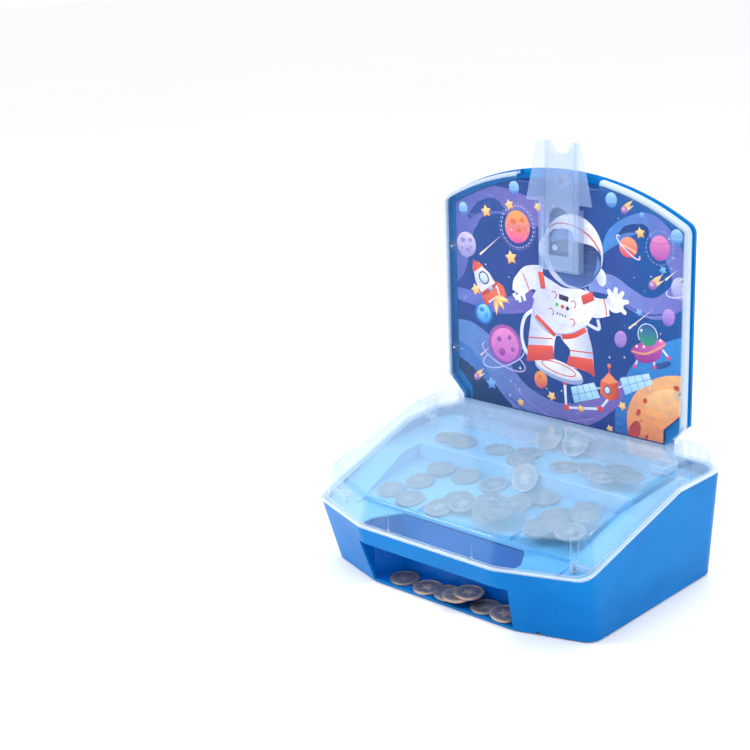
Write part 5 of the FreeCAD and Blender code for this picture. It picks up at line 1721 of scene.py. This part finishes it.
SUB_ASSEMBLIES = (
    SubAssembly("case", ("housing", "base_plate", "base_screws", "rubber_feet", "payout_bin")),
    SubAssembly("playfield", ("playfield_tray", "tray_screws", "guide_rails", "pusher_shelf", "pusher_yoke")),
    SubAssembly("drive", ("crank_gear", "second_gear", "first_gear", "gear_pins", "gearbox_low",
                          "gearbox_high", "gearbox_screws", "motor_can", "motor_cap", "motor_rotor",
                          "motor_pinion")),
    SubAssembly("power", ("battery_box", "batteries", "battery_contacts", "battery_door", "door_screw",
                          "switch_body", "switch_knob", "red_lead", "black_lead")),
    SubAssembly("cover", ("clear_cover", "cover_screws")),
    SubAssembly("board", ("back_shell", "art_card", "front_window", "board_screws", "chute_pivot", "scraper",
                          "coin_chute")),
)

HEAPS = (
    TokenHeap("shelf_coins", "shelf_tokens", Body.PUSHER, Slot.NICKEL, 3),
    TokenHeap("deck_coins", "deck_tokens", Body.PUSHER, Slot.NICKEL, 5),
    TokenHeap("leaning_coin", "leaning_token", Body.PUSHER, Slot.NICKEL, 7),
    TokenHeap("ramp_coins", "ramp_tokens", Body.MACHINE, Slot.NICKEL, 9),
    TokenHeap("payout_coins", "payout_tokens", Body.MACHINE, Slot.BRONZE, 12),
)


@dataclass(frozen=True)
class SoftBox:
    """A large soft light aimed at the toy.

    Attributes:
        name: Light name.
        place: Where it stands, in metres.
        size: Width and height, in metres.
        power: Watts.
        colour: Light colour.
    """

    name: str
    place: tuple[float, float, float]
    size: tuple[float, float]
    power: float
    colour: tuple[float, float, float] = (1.0, 1.0, 1.0)

    def hang(self, target: Vector) -> None:
        """Add the light.

        Args:
            target: Point that it faces.
        """
        lamp = bpy.data.lights.new(self.name, "AREA")
        lamp.shape = "RECTANGLE"
        lamp.size, lamp.size_y = self.size
        lamp.energy = self.power
        lamp.color = self.colour
        stand = bpy.data.objects.new(self.name, lamp)
        stand.location = self.place
        stand.rotation_euler = (target - Vector(self.place)).to_track_quat("-Z", "Y").to_euler()
        bpy.context.scene.collection.objects.link(stand)


@dataclass
class Studio:
    """Pale floor, even daylight, soft boxes and the camera.

    Attributes:
        floor_half: Half the floor's side, in metres.
        daylight: Strength of the even light.
        exposure: Stops that bring the paper floor to white.
        boxes: Soft boxes.
        camera_place: Where the camera stands, in metres.
        yaw: Turn of the camera from +Y towards -X, in degrees.
        pitch: Rise of its view, in degrees.
        roll: Turn about its view, in degrees.
        lens: Focal length on a 36 mm sensor, in millimetres.
        clear_walls: How many clear skins light may pass.
    """

    floor_half: float = 6.0
    daylight: float = 0.7
    exposure: float = 0.52
    boxes: tuple[SoftBox, ...] = (
        SoftBox("key_box", (-0.75, -0.85, 1.0), (0.45, 0.45), 7.0),
        SoftBox("side_box", (1.25, -0.35, 0.65), (0.25, 0.8), 2.5, (0.96, 0.98, 1.0)),
        SoftBox("top_box", (0.15, 0.45, 1.25), (0.7, 0.25), 4.0),
    )
    camera_place: tuple[float, float, float] = (0.674309, -0.885224, 0.533285)
    yaw: float = 42.465
    pitch: float = -18.121
    roll: float = -2.407
    lens: float = 71.79
    clear_walls: int = 32

    def _floor(self) -> None:
        """Lay a matt pale floor under the feet."""
        bm = bmesh.new()
        bmesh.ops.create_grid(bm, x_segments=2, y_segments=2, size=self.floor_half)
        mesh = bpy.data.meshes.new("studio_floor")
        bm.to_mesh(mesh)
        bm.free()
        floor = bpy.data.objects.new("studio_floor", mesh)
        bpy.context.scene.collection.objects.link(floor)
        paint = Paint("floor_paper")
        tone = paint.mix(paint.noise(3.0), ink("FBFCFD"), ink("F8F9FB"))
        mesh.materials.append(paint.close(Base_Color=tone, Roughness=0.95, Specular_IOR_Level=0.1))

    def _daylight(self) -> None:
        """Surround the set with even white light."""
        world = bpy.data.worlds.new("daylight")
        world.use_nodes = True
        sky = world.node_tree.nodes["Background"]
        sky.inputs["Color"].default_value = CHALK
        sky.inputs["Strength"].default_value = self.daylight
        bpy.context.scene.world = world

    def _camera(self) -> None:
        """Stand the camera and aim it by its three angles."""
        yaw, pitch, roll = (math.radians(a) for a in (self.yaw, self.pitch, self.roll))
        ahead = Vector((-math.sin(yaw) * math.cos(pitch), math.cos(yaw) * math.cos(pitch), math.sin(pitch)))
        right = Vector((math.cos(yaw), math.sin(yaw), 0.0))
        up = right.cross(ahead)
        lean, rise = math.cos(roll), math.sin(roll)
        right, up = right * lean + up * rise, up * lean - right * rise
        data = bpy.data.cameras.new("studio_camera")
        data.lens = self.lens
        data.sensor_width = 36.0
        data.clip_start = 0.05
        camera = bpy.data.objects.new("studio_camera", data)
        facing = Matrix((right, up, -ahead)).transposed().to_4x4()
        camera.matrix_world = Matrix.Translation(self.camera_place) @ facing
        bpy.context.scene.collection.objects.link(camera)
        bpy.context.scene.camera = camera

    def build(self) -> None:
        """Set up the whole studio."""
        self._floor()
        self._daylight()
        low, high = (Vector(corner) for corner in CAD_BOX)
        for box in self.boxes:
            box.hang((low + high) / 2)
        self._camera()
        bpy.context.scene.view_settings.view_transform = "Standard"
        bpy.context.scene.view_settings.exposure = self.exposure
        bpy.context.scene.cycles.transparent_max_bounces = self.clear_walls
        log.info("studio: %d soft boxes", len(self.boxes))


def main() -> None:
    """Dress the frame, lay the tokens, print the card and light the set."""
    rack = {slot: finish.material() for slot, finish in FINISHES.items()}
    special = {name: finish.material() for name, finish in CLEARER.items()}
    for group in SUB_ASSEMBLIES:
        group.dress(rack, special)
    token = Token().mesh()
    for heap in HEAPS:
        heap.build(token, rack[heap.slot])
    bpy.data.meshes.remove(token)
    CardArt().build(PrintedInk().material())
    Studio().build()


if __name__ == "__main__":
    logging.basicConfig(level=logging.INFO, format="%(message)s")
    main()
